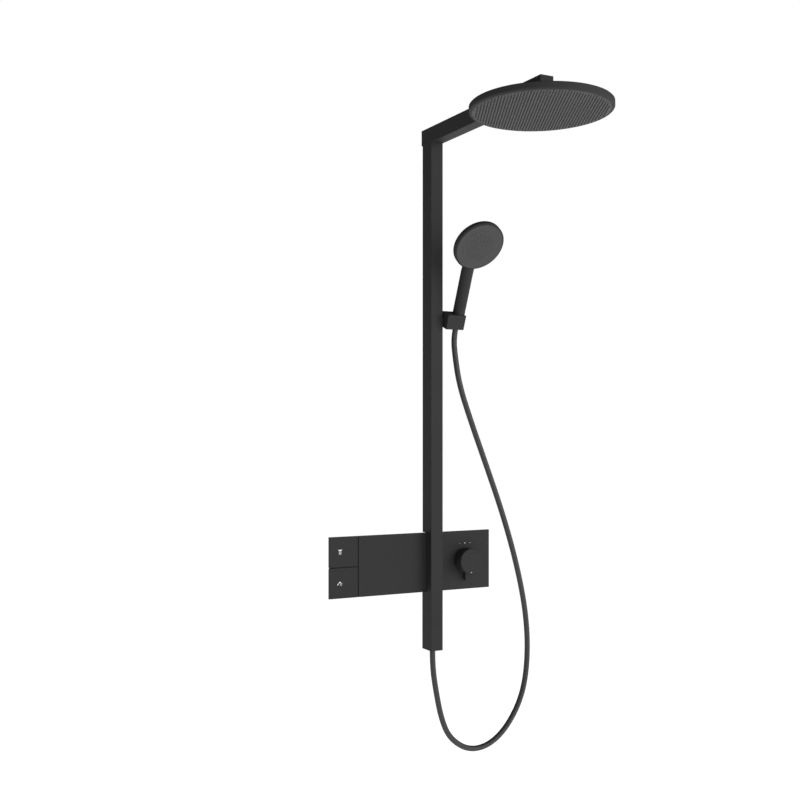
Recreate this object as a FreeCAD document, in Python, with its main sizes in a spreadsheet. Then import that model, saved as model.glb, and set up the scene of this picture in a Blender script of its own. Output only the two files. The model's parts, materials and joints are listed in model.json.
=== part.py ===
"""Rainfall shower column: a wall-mounted riser with an overhead disc, a hand shower and a control panel.

Frame: X runs right along the wall, Y runs into the wall and Z runs up. The wall's face is y = 0.
The origin is on the wall's face, in line with the riser and at mid height of the panel.
"""
import FreeCAD, Part
import math
import os
import re

import Sketcher

from FreeCAD import Placement, Rotation, Vector

doc = FreeCAD.newDocument("shower_column")

# ---------------------------------------------------------------- driving sizes, in millimetres
SIZES = {
    # riser and arm, rectangular tube
    "riser_width": 30, "riser_depth": 40, "riser_wall": 1.8, "riser_front": 45,
    "riser_top": 944, "lower_back_gap": 3.5, "lower_end": 197.5,
    "arm_height": 34.5, "arm_wall": 2, "arm_reach": 467, "arm_back_gap": 0.5, "cap_thick": 3,
    "edge_break": 0.6,
    # panel in front of the wall
    "panel_left": 255, "panel_right": 153, "panel_half": 67, "panel_front": 21, "plate_thick": 3,
    "button_width": 69, "button_gap": 2.2, "button_travel": 3, "button_rest_gap": 1,
    "frame_inset": 12, "frame_wall": 2.5, "seal_thick": 2, "seal_width": 5,
    "bracket_plate_thick": 2,
    "wall_hole_radius": 2.75, "wall_hole_pitch_x": 240, "wall_hole_pitch_z": 84,
    # valve inside the wall
    "valve_depth": 42, "bar_half": 14, "hub_half_width": 20, "hub_half_height": 38,
    "push_block_half": 14, "push_block_reach": 52, "push_block_depth": 24, "push_screw_offset": 8,
    "push_radius": 10.5, "push_length": 20, "stem_radius": 4, "stem_fit": 0.08, "stem_depth": 14,
    "inlet_spacing": 150, "inlet_radius": 14, "inlet_thread": 9.32, "inlet_thread_depth": 16,
    "inlet_end": 45, "inlet_y": 22, "check_radius": 7, "check_length": 12,
    "port_height": 25, "port_radius": 6, "screw_radius": 2, "screw_head": 3.6, "screw_head_thick": 2.4,
    # temperature control
    "knob_axis_x": 86, "knob_radius": 28, "knob_front": 52.7, "knob_gap": 3, "knob_wall": 2.5,
    "mixer_radius": 17, "mixer_housing": 25, "spindle_radius": 4, "spindle_fit": 0.06,
    "lever_width": 7.5, "lever_reach": 46, "lever_thick": 8, "stop_radius": 4, "stop_proud": 1.2,
    "stop_travel": 1, "stop_depth": 39,
    # water tubes
    "tube_radius": 7, "tube_wall": 1,
    # lower outlet
    "outlet_block": 26, "nut_radius": 10, "nut_length": 15, "nut_recess": 1.5,
    "nipple_radius": 8, "nipple_bore": 4.5,
    # overhead disc
    "disc_radius": 140, "disc_axis_back": 18.5, "disc_drop": 30.5, "edge_low_rise": 3.2,
    "edge_top_rise": 13.8, "crown_rise": 18.5, "disc_flat_radius": 136, "disc_wall": 2.4, "disc_hang": 1.2,
    "spray_radius": 133.5, "rim_ledge": 1.8,
    "spray_thick": 3, "spray_proud": 0.6, "hub_radius": 24, "hub_bore": 16.3, "hub_drop": 11,
    # ball joint of the disc
    "ball_drop": 14, "ball_radius": 9, "ball_neck": 5, "ball_bore": 3.2, "seat_gap": 0.3,
    "seat_wall": 1.7, "seat_split": 1, "seat_reach": 5, "collar_radius": 16, "collar_gap": 5,
    "collar_flange": 24.5, "collar_flange_thick": 3, "collar_mouth": 8.2,
    # hand shower holder, tilted about X
    "holder_gap": 2, "pivot_setback": 6.67, "cradle_z": 540, "lean": 22.2,
    "block_left": 34, "block_right": 11.7, "block_half_depth": 16, "block_bottom": 10.2, "block_top": 23.4,
    "cradle_radius": 14.3, "cradle_floor": 9, "slot_half": 7.5, "pivot_back": 10, "pivot_up": 6.6,
    "pivot_radius": 4, "pivot_fit": 0.06, "pivot_flange": 6, "pivot_depth": 12,
    # hand shower
    "grip_radius": 13.9, "grip_wall": 2.2, "grip_clear": 0.3, "grip_straight": 112,
    "head_radius": 58.4, "head_forward": 32.2, "head_up": 184.9, "head_tilt": 18, "head_thick": 17,
    "head_edge": 3, "face_radius": 55, "face_thick": 2.5, "face_recess": 0.3, "head_wall": 2.2,
    "cone_top": 11.4, "cone_low": 10, "cone_bottom": 9, "thread_radius": 8, "hand_nozzle_radius": 40,
    # hose
    "hose_radius": 6.5,
}

sheet = doc.addObject("Spreadsheet::Sheet", "Sizes")
for row, (alias, value) in enumerate(SIZES.items(), start=1):
    sheet.set(f"A{row}", alias)
    sheet.set(f"B{row}", str(value))
    sheet.setAlias(f"B{row}", alias)
doc.recompute()

# Places that follow from the sizes above. Depths are counted from the wall towards the room.
DERIVED = {
    "TUBE_Y": "(riser_front + panel_front) / 2",
    "OUTLET_Y": "(riser_front + lower_back_gap) / 2",
    "DISC_Y": "arm_reach - disc_axis_back",
    "FACE_Z": "riser_top - disc_drop",
    "EDGE_LOW": "riser_top - disc_drop + edge_low_rise",
    "EDGE_TOP": "riser_top - disc_drop + edge_top_rise",
    "CROWN": "riser_top - disc_drop + crown_rise",
    "BALL_Z": "riser_top - ball_drop",
    "COLLAR_TOP": "riser_top - collar_gap",
    "BUTTON_X": "panel_left - button_width / 2",
    "BUTTON_Z": "panel_half / 2",
    "CRADLE_X": "riser_width / 2 + holder_gap + block_left",
    "PIVOT_Y": "riser_front - pivot_setback",
    "CRADLE_Y": "riser_front - pivot_setback + pivot_back * cos(lean * 1 deg) - pivot_up * sin(lean * 1 deg)",
    "PIVOT_Z": "cradle_z + pivot_back * sin(lean * 1 deg) + pivot_up * cos(lean * 1 deg)",
}

WORDS = re.compile(r"\b(" + "|".join(sorted(SIZES, key=len, reverse=True)) + r")\b")
PLACES = re.compile(r"\b(" + "|".join(DERIVED) + r")\b")


def rule(text):
    """An expression in the names of the sheet, ready for setExpression."""
    spelled = PLACES.sub(lambda found: f"({DERIVED[found[0]]})", str(text))
    return WORDS.sub(r"Sizes.\1", spelled)


def number(text):
    """The value of such an expression now, for code that needs a plain number."""
    return float(sheet.evalExpression(rule(text).replace("Sizes.", "")))


# ---------------------------------------------------------------- helpers for bodies and sketches
parts = []


def keep(piece):
    """Count an object as a piece of the product: its Label names its node."""
    piece.Label = piece.Name
    parts.append(piece)
    return piece


def place(piece, x="0", y="0", z="0", turn=None, axis=Vector(1, 0, 0)):
    """Bind a piece's place, and its turn about one axis in degrees, to the sheet."""
    if turn is not None:
        piece.Placement = Placement(Vector(), Rotation(axis, number(turn)))
        piece.setExpression("Placement.Rotation.Angle", rule(turn))
    for letter, text in zip("xyz", (x, y, z)):
        piece.setExpression(f"Placement.Base.{letter}", rule(text))
    return piece


def new_body(name):
    return doc.addObject("PartDesign::Body", name)


def sketch_on(body, role, lift="0"):
    """A sketch on one of the body's own planes, lifted along the plane's normal."""
    sketch = body.newObject("Sketcher::SketchObject", body.Name + "_sketch")
    plane = next(f for f in body.Origin.OriginFeatures if f.Role == role)
    sketch.AttachmentSupport = [(plane, "")]
    sketch.MapMode = "FlatFace"
    sketch.setExpression("AttachmentOffset.Base.z", rule(lift))
    return sketch


def fix_point(sketch, line, end, x, y):
    """Hold one end of a line at a place given by two expressions."""
    for letter, text, sketch_axis in (("X", x, -2), ("Y", y, -1)):
        if str(text) == "0":
            sketch.addConstraint(Sketcher.Constraint("PointOnObject", line, end, sketch_axis))
            continue
        held = sketch.addConstraint(
            Sketcher.Constraint("Distance" + letter, -1, 1, line, end, number(text))
        )
        sketch.renameConstraint(held, f"{letter.lower()}{line}_{end}")
        sketch.setExpression(f"Constraints.{letter.lower()}{line}_{end}", rule(text))


def outline(sketch, points):
    """A closed outline of straight lines through points given as pairs of expressions."""
    spots = [Vector(number(x), number(y), 0) for x, y in points]
    first = sketch.GeometryCount
    count = len(spots)
    for i in range(count):
        sketch.addGeometry(Part.LineSegment(spots[i], spots[(i + 1) % count]), False)
    for i in range(count):
        after = first + (i + 1) % count
        sketch.addConstraint(Sketcher.Constraint("Coincident", first + i, 2, after, 1))
    for i, (x, y) in enumerate(points):
        fix_point(sketch, first + i, 1, x, y)


def rectangle(sketch, x0, x1, y0, y1):
    outline(sketch, [(x0, y0), (x1, y0), (x1, y1), (x0, y1)])


def circle(sketch, x, y, radius):
    """A circle whose centre and radius are given as expressions."""
    index = sketch.addGeometry(
        Part.Circle(Vector(number(x), number(y), 0), Vector(0, 0, 1), number(radius)), False
    )
    held = sketch.addConstraint(Sketcher.Constraint("Radius", index, number(radius)))
    sketch.renameConstraint(held, f"r{index}")
    sketch.setExpression(f"Constraints.r{index}", rule(radius))
    fix_point(sketch, index, 3, x, y)


def pad(body, sketch, length):
    """Grow the sketch along its normal."""
    feature = body.newObject("PartDesign::Pad", body.Name + "_pad")
    feature.Profile = sketch
    feature.setExpression("Length", rule(length))
    return feature


def pocket(body, sketch, depth, along_normal=False):
    """Cut the sketch against its normal, or along it."""
    feature = body.newObject("PartDesign::Pocket", body.Name + "_pocket")
    feature.Profile = sketch
    feature.Reversed = along_normal
    feature.setExpression("Length", rule(depth))
    return feature


def turned(name, points, role="XZ_Plane", line="V_Axis"):
    """A piece turned about an axis of its sketch."""
    body = new_body(name)
    sketch = sketch_on(body, role)
    outline(sketch, points)
    feature = body.newObject("PartDesign::Revolution", name + "_turn")
    feature.Profile = sketch
    feature.ReferenceAxis = (sketch, [line])
    feature.Angle = 360
    return keep(body)


def plate(name, back, thickness, draw):
    """A plate parallel to the wall: its back face stands `back` in front of the wall."""
    body = new_body(name)
    sketch = sketch_on(body, "XZ_Plane", back)
    draw(sketch)
    pad(body, sketch, thickness)
    return body


def block(name, x0, x1, y0, y1, z0, z1):
    """A Part box between two corners given as expressions."""
    box = doc.addObject("Part::Box", name)
    for prop, low, high in (("Length", x0, x1), ("Width", y0, y1), ("Height", z0, z1)):
        box.setExpression(prop, rule(f"({high}) - ({low})"))
    return place(box, x0, y0, z0)


def rod(name, radius, length, x, y, z, direction="z"):
    """A Part cylinder that starts at x, y, z and runs along +x, +y or +z."""
    cylinder = doc.addObject("Part::Cylinder", name)
    cylinder.setExpression("Radius", rule(radius))
    cylinder.setExpression("Height", rule(length))
    turns = {"x": (Vector(0, 1, 0), "90"), "y": (Vector(1, 0, 0), "-90"), "z": (Vector(1, 0, 0), "0")}
    axis, angle = turns[direction]
    return place(cylinder, x, y, z, angle, axis)


def joined(name, pieces):
    fusion = doc.addObject("Part::MultiFuse", name)
    fusion.Shapes = pieces
    return fusion


def less(name, base, tools):
    """The base piece with the tools cut out of it."""
    tool = tools[0] if len(tools) == 1 else joined(name + "_tools", tools)
    cut = doc.addObject("Part::Cut", name)
    cut.Base = base
    cut.Tool = tool
    return cut


def group(name, pieces):
    """Identical loose pieces that share one node."""
    compound = doc.addObject("Part::Compound", name)
    compound.Links = pieces
    return keep(compound)


def soften(body, feature, chosen, radius, kind="Fillet"):
    """Round or chamfer the edges of the last feature that `chosen` picks."""
    doc.recompute()
    names = [f"Edge{i}" for i, e in enumerate(feature.Shape.Edges, start=1) if chosen(e)]
    trim = body.newObject("PartDesign::" + kind, body.Name + "_" + kind.lower())
    trim.Base = (feature, names)
    trim.setExpression("Radius" if kind == "Fillet" else "Size", rule(radius))
    return trim


def upright(edge):
    """Whether an edge runs straight along Z."""
    ends = edge.Vertexes
    return len(ends) == 2 and math.hypot(
        ends[0].Point.x - ends[1].Point.x, ends[0].Point.y - ends[1].Point.y
    ) < 1e-6


# ---------------------------------------------------------------- riser, arm and their ends
RISER_BACK = "-(riser_front - riser_depth)"
PORT_CLEAR = "port_radius + 0.6"


def tube_section(sketch, half, y0, y1, wall):
    """A hollow rectangle, its inner outline a wall thickness inside the outer one."""
    rectangle(sketch, f"-({half})", half, y0, y1)
    rectangle(sketch, f"-({half}) + {wall}", f"{half} - {wall}", f"{y0} + {wall}", f"{y1} - {wall}")


def make_upper_riser():
    """Upper riser, from the panel's top edge up to the arm."""
    body = new_body("upper_riser")
    sketch = sketch_on(body, "XY_Plane", "panel_half")
    tube_section(sketch, "riser_width / 2", "-riser_front", RISER_BACK, "riser_wall")
    tube = pad(body, sketch, "riser_top - panel_half")
    half = number("riser_width / 2")
    soften(body, tube, lambda e: upright(e) and abs(abs(e.Vertexes[0].Point.x) - half) < 1e-6, "edge_break")
    pivot_hole = sketch_on(body, "YZ_Plane", "riser_width / 2 + 1")
    circle(pivot_hole, "-PIVOT_Y", "PIVOT_Z", "pivot_radius + 0.05")
    pocket(body, pivot_hole, "riser_wall + 2")
    keep(body)


def make_lower_column():
    """Lower column: it passes in front of the panel, so its back is notched at the panel's height."""
    body = new_body("lower_column")
    sketch = sketch_on(body, "XY_Plane", "-lower_end")
    tube_section(sketch, "riser_width / 2", "-riser_front", "-lower_back_gap", "riser_wall")
    tube = pad(body, sketch, "lower_end + panel_half")
    half = number("riser_width / 2")
    soften(body, tube, lambda e: upright(e) and abs(abs(e.Vertexes[0].Point.x) - half) < 1e-6, "edge_break")
    notch = sketch_on(body, "YZ_Plane", "-riser_width")
    rectangle(notch, "-panel_front", "5", "-panel_half", "panel_half + 5")
    pocket(body, notch, "2 * riser_width", along_normal=True)
    keep(body)


def make_arm():
    """Arm: one rectangular tube from the wall out over the disc, open at both ends."""
    body = new_body("shower_arm")
    sketch = sketch_on(body, "XZ_Plane", "arm_back_gap")
    rectangle(sketch, "-riser_width / 2", "riser_width / 2", "riser_top", "riser_top + arm_height")
    rectangle(sketch, "-riser_width / 2 + arm_wall", "riser_width / 2 - arm_wall",
              "riser_top + arm_wall", "riser_top + arm_height - arm_wall")
    tube = pad(body, sketch, "arm_reach - arm_back_gap - cap_thick")
    half = number("riser_width / 2")

    def along_arm(e):
        ends = e.Vertexes
        return len(ends) == 2 and abs(ends[0].Point.y - ends[1].Point.y) > 100 and (
            abs(abs(ends[0].Point.x) - half) < 1e-6
        )

    soften(body, tube, along_arm, "edge_break")
    holes = sketch_on(body, "XY_Plane", "riser_top - 1")
    circle(holes, "0", "-TUBE_Y", "tube_radius + 0.5")
    circle(holes, "0", "-DISC_Y", "thread_radius + 0.5")
    circle(holes, "0", "-11", "screw_radius + 0.5")
    pocket(body, holes, "arm_wall + 2", along_normal=True)
    keep(body)


def make_arm_end_cap():
    """End cap of the arm: a plate with a plug that sits inside the tube."""
    body = plate("arm_end_cap", "arm_reach - cap_thick", "cap_thick", lambda s: rectangle(
        s, "-riser_width / 2", "riser_width / 2", "riser_top", "riser_top + arm_height"))
    plug = sketch_on(body, "XZ_Plane", "arm_reach - cap_thick - 4")
    rectangle(plug, "-riser_width / 2 + arm_wall", "riser_width / 2 - arm_wall",
              "riser_top + arm_wall", "riser_top + arm_height - arm_wall")
    pad(body, plug, "4")
    keep(body)


def make_upper_bracket():
    """Bracket on the wall that fills the arm's back end, held by one grub screw from below."""
    shell = "riser_width / 2 - arm_wall - 0.3"
    base = block("bracket_solid", f"-({shell})", shell, "-20", "0",
                 "riser_top + arm_wall + 0.3", "riser_top + arm_height - arm_wall - 0.3")
    middle = "riser_top + arm_height / 2"
    holes = [rod(f"bracket_hole_{n}", "2.25", "24", "0", "-22", f"{middle} + {up}", "y")
             for n, up in enumerate(("-8", "8"))]
    grub_hole = rod("grub_hole", "screw_radius", "4.3", "0", "-11", "riser_top")
    keep(less("upper_wall_bracket", base, holes + [grub_hole]))
    keep(rod("bracket_grub_screw", "screw_radius", "4", "0", "-11", "riser_top + 0.2"))


def make_riser_tubes():
    """Water tubes and the brass elbow that joins them behind the arm's corner."""
    inner = "tube_radius - tube_wall"
    low, high = "port_height + 9", "riser_top + 9"
    keep(less("riser_water_tube",
              rod("riser_tube_outer", "tube_radius", f"{high} - ({low})", "0", "-TUBE_Y", low),
              [rod("riser_tube_inner", inner, f"{high} - ({low})", "0", "-TUBE_Y", low)]))
    centre = "riser_top + arm_height / 2"
    elbow = block("elbow_solid", "-11", "11", "-TUBE_Y - 11", "-TUBE_Y + 11",
                  "riser_top + arm_wall + 0.5", "riser_top + arm_height - arm_wall - 0.5")
    keep(less("elbow_connector", elbow, [
        rod("elbow_seat_low", "tube_radius", "7", "0", "-TUBE_Y", "riser_top + 2"),
        rod("elbow_bore_up", inner, "arm_height / 2 - 2", "0", "-TUBE_Y", "riser_top + 2"),
        rod("elbow_bore_front", inner, "12", "0", "-TUBE_Y - 12", centre, "y"),
        rod("elbow_seat_front", "tube_radius", "5", "0", "-TUBE_Y - 11.5", centre, "y"),
    ]))
    start, end = "-DISC_Y + 9", "-TUBE_Y - 6.5"
    keep(less("arm_water_tube",
              rod("arm_tube_outer", "tube_radius", f"{end} - ({start})", "0", start, centre, "y"),
              [rod("arm_tube_inner", inner, f"{end} - ({start})", "0", start, centre, "y")]))
    socket = block("socket_solid", "-11", "11", "-DISC_Y - 11", "-DISC_Y + 13",
                   "riser_top + arm_wall + 0.5", "riser_top + arm_height - arm_wall - 0.5")
    keep(less("head_connector", socket, [
        rod("socket_thread", "thread_radius", "8", "0", "-DISC_Y", "riser_top + 2"),
        rod("socket_bore_up", "4.2", "arm_height / 2 - 2", "0", "-DISC_Y", "riser_top + 2"),
        rod("socket_bore_back", "5", "17", "0", "-DISC_Y - 5", centre, "y"),
        rod("socket_seat_back", "tube_radius", "7", "0", "-DISC_Y + 9", centre, "y"),
    ]))


# ---------------------------------------------------------------- overhead disc and its ball joint
def make_ball_joint():
    """Ball stud on the arm, two seat rings round the ball and the collar that closes over them."""
    stud = joined("stud_solid", [
        rod("stud_thread", "thread_radius", "10", "0", "-DISC_Y", "riser_top"),
        rod("stud_neck", "ball_neck", "riser_top - BALL_Z", "0", "-DISC_Y", "BALL_Z"),
        sphere("stud_ball", "ball_radius"),
    ])
    keep(less("ball_stud", stud, [
        rod("stud_bore", "ball_bore", "40", "0", "-DISC_Y", "BALL_Z - 15")]))
    for name, low, high in (("seat_lower", "-seat_reach", "-seat_split"),
                            ("seat_upper", "seat_split", "seat_reach")):
        zone = doc.addObject("Part::Common", name + "_zone")
        zone.Base = sphere(name + "_outer", "ball_radius + seat_gap + seat_wall")
        zone.Tool = rod(name + "_band", "collar_radius", f"{high} - ({low})", "0", "-DISC_Y",
                        f"BALL_Z + {low}")
        hang(keep(less(name, zone, [sphere(name + "_inner", "ball_radius + seat_gap")])), "-DISC_Y")
    collar = joined("collar_solid", [
        rod("collar_core", "collar_radius", "COLLAR_TOP - CROWN + hub_drop", "0", "-DISC_Y",
            "CROWN - hub_drop"),
        rod("collar_ring", "collar_flange", "collar_flange_thick", "0", "-DISC_Y", "CROWN"),
    ])
    holes = screw_ring("collar_hole", "screw_radius", "collar_flange_thick + 2", "CROWN - 1")
    hang(keep(less("ball_collar", collar, [
        sphere("collar_cavity", "ball_radius + 2 * seat_gap + seat_wall"),
        rod("collar_mouth_bore", "collar_mouth", "20", "0", "-DISC_Y", "BALL_Z"),
        rod("collar_outlet", "6", "20", "0", "-DISC_Y", "BALL_Z - 20"),
    ] + holes)), "-DISC_Y")
    shanks = screw_ring("collar_shank", "screw_radius", "collar_flange_thick + 6", "CROWN - 6")
    heads = screw_ring("collar_head", "screw_head", "screw_head_thick",
                       "CROWN + collar_flange_thick")
    pairs = enumerate(zip(shanks, heads))
    hang(group("collar_screws", [joined(f"collar_screw_{n}", pair) for n, pair in pairs]), "-DISC_Y")


def hang(piece, own_y):
    """Tip a piece with the disc, whose front hangs a little high on its joint.

    The joint's centre lies at own_y and BALL_Z in the piece's own space.
    """
    turn = "-disc_hang * 1 deg"
    return place(piece, "0", f"-DISC_Y - ({own_y}) * cos({turn}) + BALL_Z * sin({turn})",
                 f"BALL_Z - ({own_y}) * sin({turn}) - BALL_Z * cos({turn})", "-disc_hang")


def sphere(name, radius):
    """A ball about the centre of the disc's joint."""
    ball = doc.addObject("Part::Sphere", name)
    ball.setExpression("Radius", rule(radius))
    return place(ball, "0", "-DISC_Y", "BALL_Z")


SCREW_COUNT = 4
COLLAR_RING = "(collar_radius + screw_head + 0.4)"


def screw_ring(name, radius, length, z):
    """Cylinders along Z, spaced evenly on the collar's flange."""
    rods = []
    for n in range(SCREW_COUNT):
        turn = 45 + 360 / SCREW_COUNT * n
        out = COLLAR_RING
        rods.append(rod(f"{name}_{n}", radius, length, f"{out} * cos({turn} deg)",
                        f"-DISC_Y + {out} * sin({turn} deg)", z))
    return rods


def make_overhead_disc():
    """Overhead disc: top shell, rim ring, spray plate, distributor and seal, turned about one axis."""
    lip = "EDGE_LOW"
    inner = "disc_radius - disc_wall"
    shell = turned("head_top_shell", [
        ("disc_radius", lip), ("disc_radius", "EDGE_TOP - 1.5"), ("disc_radius - 1.5", "EDGE_TOP"),
        ("hub_radius + 6", "CROWN"), ("hub_bore", "CROWN"),
        ("hub_bore", "CROWN - hub_drop + 1"), ("hub_radius", "CROWN - hub_drop + 1"),
        ("hub_radius", "CROWN - disc_wall - 0.3"), (inner, "EDGE_TOP - disc_wall"), (inner, lip),
    ])
    holes = sketch_on(shell, "XY_Plane", "CROWN + 1")
    for n in range(SCREW_COUNT):
        turn = 45 + 360 / SCREW_COUNT * n
        circle(holes, f"{COLLAR_RING} * cos({turn} deg)", f"{COLLAR_RING} * sin({turn} deg)", "screw_radius")
    pocket(shell, holes, "7")
    rim = turned("head_rim", [
        ("disc_radius", lip), ("disc_radius - 0.5", f"{lip} - 1.2"), ("disc_radius - 1.8", f"{lip} - 2.5"),
        ("disc_flat_radius", "FACE_Z"), ("spray_radius", "FACE_Z"), ("spray_radius", "FACE_Z + spray_thick"),
        ("spray_radius + rim_ledge", "FACE_Z + spray_thick"), ("spray_radius + rim_ledge", f"{lip} + 2"),
        (inner, f"{lip} + 2"), (inner, lip),
    ])
    spray = turned("spray_plate", [
        ("0", "FACE_Z - spray_proud"), ("spray_radius - 2", "FACE_Z - spray_proud"),
        ("spray_radius - 2", "FACE_Z"), ("spray_radius", "FACE_Z"),
        ("spray_radius", "FACE_Z + spray_thick - 0.5"), ("0", "FACE_Z + spray_thick - 0.5"),
    ])
    spread = turned("distributor_plate", [
        ("0", "FACE_Z + spray_thick"), ("spray_radius + rim_ledge - 0.3", "FACE_Z + spray_thick"),
        ("spray_radius + rim_ledge - 0.3", "FACE_Z + spray_thick + 1.5"), ("0", "FACE_Z + spray_thick + 1.5"),
    ])
    seal = turned("head_seal", [
        (f"{inner} - 4", f"{lip} + 2"), (f"{inner} - 0.3", f"{lip} + 2"),
        (f"{inner} - 0.3", f"{lip} + 4"), (f"{inner} - 4", f"{lip} + 4"),
    ])
    for piece in (shell, rim, spray, spread, seal):
        hang(piece, "0")


# ---------------------------------------------------------------- panel
FRAME_LEFT, FRAME_RIGHT = "-(panel_left - frame_inset)", "panel_right - frame_inset"
FRAME_HALF = "panel_half - frame_inset"
SPLIT = "-(panel_left - button_width)"
BUTTON_BACK = "panel_front - plate_thick"
CARRIER_FRONT = f"({BUTTON_BACK} - button_travel - button_rest_gap)"


def make_front_plate():
    """Front plate of the panel, behind the column and beside the two buttons."""
    body = plate("front_plate", BUTTON_BACK, "plate_thick", lambda s: rectangle(
        s, f"{SPLIT} + button_gap", "panel_right", "-panel_half", "panel_half"))
    holes = sketch_on(body, "XZ_Plane", f"{BUTTON_BACK} - 1")
    circle(holes, "knob_axis_x", "0", "mixer_radius + 0.5")
    circle(holes, "0", "port_height", PORT_CLEAR)
    circle(holes, "0", "-port_height", PORT_CLEAR)
    pocket(body, holes, "plate_thick + 2", along_normal=True)
    keep(body)


def make_housing():
    """Shallow frame behind the front plate, and the carrier that guides the two buttons."""
    body = plate("housing_frame", "seal_thick", f"{BUTTON_BACK} - seal_thick", lambda s: (
        rectangle(s, FRAME_LEFT, FRAME_RIGHT, f"-({FRAME_HALF})", FRAME_HALF),
        rectangle(s, f"{FRAME_LEFT} + frame_wall", f"{FRAME_RIGHT} - frame_wall",
                  f"-({FRAME_HALF}) + frame_wall", f"{FRAME_HALF} - frame_wall")))
    front = sketch_on(body, "XZ_Plane", f"{BUTTON_BACK} - frame_wall")
    rectangle(front, f"{SPLIT} + button_gap", f"{FRAME_RIGHT} - frame_wall / 2",
              f"-({FRAME_HALF}) + frame_wall / 2", f"{FRAME_HALF} - frame_wall / 2")
    circle(front, "knob_axis_x", "0", "mixer_radius + 0.5")
    circle(front, "0", "port_height", PORT_CLEAR)
    circle(front, "0", "-port_height", PORT_CLEAR)
    pad(body, front, "frame_wall")
    open_front = sketch_on(body, "XZ_Plane", f"{CARRIER_FRONT}")
    rectangle(open_front, f"{FRAME_LEFT} - 1", SPLIT, f"-({FRAME_HALF}) - 1", f"{FRAME_HALF} + 1")
    pocket(body, open_front, "20", along_normal=True)
    keep(body)
    carrier = plate("button_carrier", f"{CARRIER_FRONT} - frame_wall", "frame_wall", lambda s: (
        rectangle(s, f"{FRAME_LEFT} + frame_wall", SPLIT,
                  f"-({FRAME_HALF}) + frame_wall", f"{FRAME_HALF} - frame_wall"),
        circle(s, "-BUTTON_X", "BUTTON_Z", "stem_radius + 2.4"),
        circle(s, "-BUTTON_X", "-BUTTON_Z", "stem_radius + 2.4")))
    keep(carrier)
    seal = plate("wall_seal", "0", "seal_thick", lambda s: (
        rectangle(s, FRAME_LEFT, FRAME_RIGHT, f"-({FRAME_HALF})", FRAME_HALF),
        rectangle(s, f"{FRAME_LEFT} + seal_width", f"{FRAME_RIGHT} - seal_width",
                  f"-({FRAME_HALF}) + seal_width", f"{FRAME_HALF} - seal_width")))
    keep(seal)


def make_bracket_plate():
    """Steel plate that is screwed to the wall and carries the valve behind it and the frame before it."""
    body = plate("mounting_plate", "0", "bracket_plate_thick", lambda s: rectangle(
        s, "-(panel_left - frame_inset - seal_width - 0.5)", "panel_right - frame_inset - seal_width - 0.5",
        "-(panel_half - frame_inset - seal_width - 0.5)", "panel_half - frame_inset - seal_width - 0.5"))
    holes = sketch_on(body, "XZ_Plane", "-1")
    for sx in ("-", ""):
        for sz in ("-", ""):
            circle(holes, f"{sx}wall_hole_pitch_x / 2", f"{sz}wall_hole_pitch_z / 2", "wall_hole_radius")
    for x, z in VALVE_SCREWS:
        circle(holes, x, z, "screw_radius + 0.25")
    for sz in ("-", ""):
        circle(holes, "0", f"{sz}port_height", PORT_CLEAR)
        circle(holes, "-BUTTON_X", f"{sz}BUTTON_Z", "stem_radius + 2.4")
    circle(holes, "knob_axis_x", "0", "mixer_radius + 0.5")
    pocket(body, holes, "bracket_plate_thick + 2", along_normal=True)
    keep(body)


SCREW_RING = "(mixer_radius + mixer_housing) / 2 * 0.7071"
VALVE_SCREWS = [("-BUTTON_X - push_screw_offset", "0"), ("-BUTTON_X + push_screw_offset", "0"),
                (f"knob_axis_x - {SCREW_RING}", f"-({SCREW_RING})"),
                (f"knob_axis_x + {SCREW_RING}", SCREW_RING)]


def make_valve():
    """Brass valve block inside the wall, with bores for the cartridges and two threaded inlets."""
    deep = "valve_depth"
    solid = joined("valve_solid", [
        block("valve_bar", "-BUTTON_X", "knob_axis_x", "6", f"{deep} - 2", "-bar_half", "bar_half"),
        block("valve_push_block", "-BUTTON_X - push_block_half", "-BUTTON_X + push_block_half",
              "0", "push_block_depth", "-push_block_reach", "push_block_reach"),
        block("valve_hub", "-hub_half_width", "hub_half_width", "0", deep,
              "-hub_half_height", "hub_half_height"),
        rod("valve_mixer_boss", "mixer_housing", deep, "knob_axis_x", "0", "0", "y"),
    ] + [rod(f"valve_inlet_{n}", "inlet_radius", "inlet_end", f"{side}inlet_spacing / 2", "inlet_y",
             "-inlet_end") for n, side in enumerate(("-", ""))])
    bores = [rod("bore_mixer", "mixer_radius", f"{deep} - 4", "knob_axis_x", "-1", "0", "y")]
    for n, side in enumerate(("", "-")):
        bores.append(rod(f"bore_push_{n}", "push_radius", "push_length + 3", "-BUTTON_X", "-1",
                         f"{side}BUTTON_Z", "y"))
        bores.append(rod(f"bore_port_{n}", "port_radius", "16", "0", "-1", f"{side}port_height", "y"))
    for n, side in enumerate(("-", "")):
        x = f"{side}inlet_spacing / 2"
        bores.append(rod(f"bore_inlet_{n}", "inlet_thread", "inlet_thread_depth", x, "inlet_y", "-inlet_end"))
        bores.append(rod(f"bore_check_{n}", "check_radius", "inlet_thread_depth + check_length", x,
                         "inlet_y", "-inlet_end"))
    for n, (x, z) in enumerate(VALVE_SCREWS):
        bores.append(rod(f"bore_screw_{n}", "screw_radius", "13", x, "-1", z, "y"))
    keep(less("valve_block", solid, bores))
    group("non_return_valves", [
        rod(f"check_{n}", "check_radius", "check_length", f"{side}inlet_spacing / 2", "inlet_y",
            "-inlet_end + inlet_thread_depth") for n, side in enumerate(("-", ""))])
    face = "-bracket_plate_thick"
    group("valve_screws", [joined(f"valve_screw_{n}", [
        rod(f"valve_shank_{n}", "screw_radius", "12 + bracket_plate_thick", x, face, z, "y"),
        rod(f"valve_head_{n}", "screw_head", "screw_head_thick", x, f"{face} - screw_head_thick", z, "y"),
    ]) for n, (x, z) in enumerate(VALVE_SCREWS)])


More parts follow.
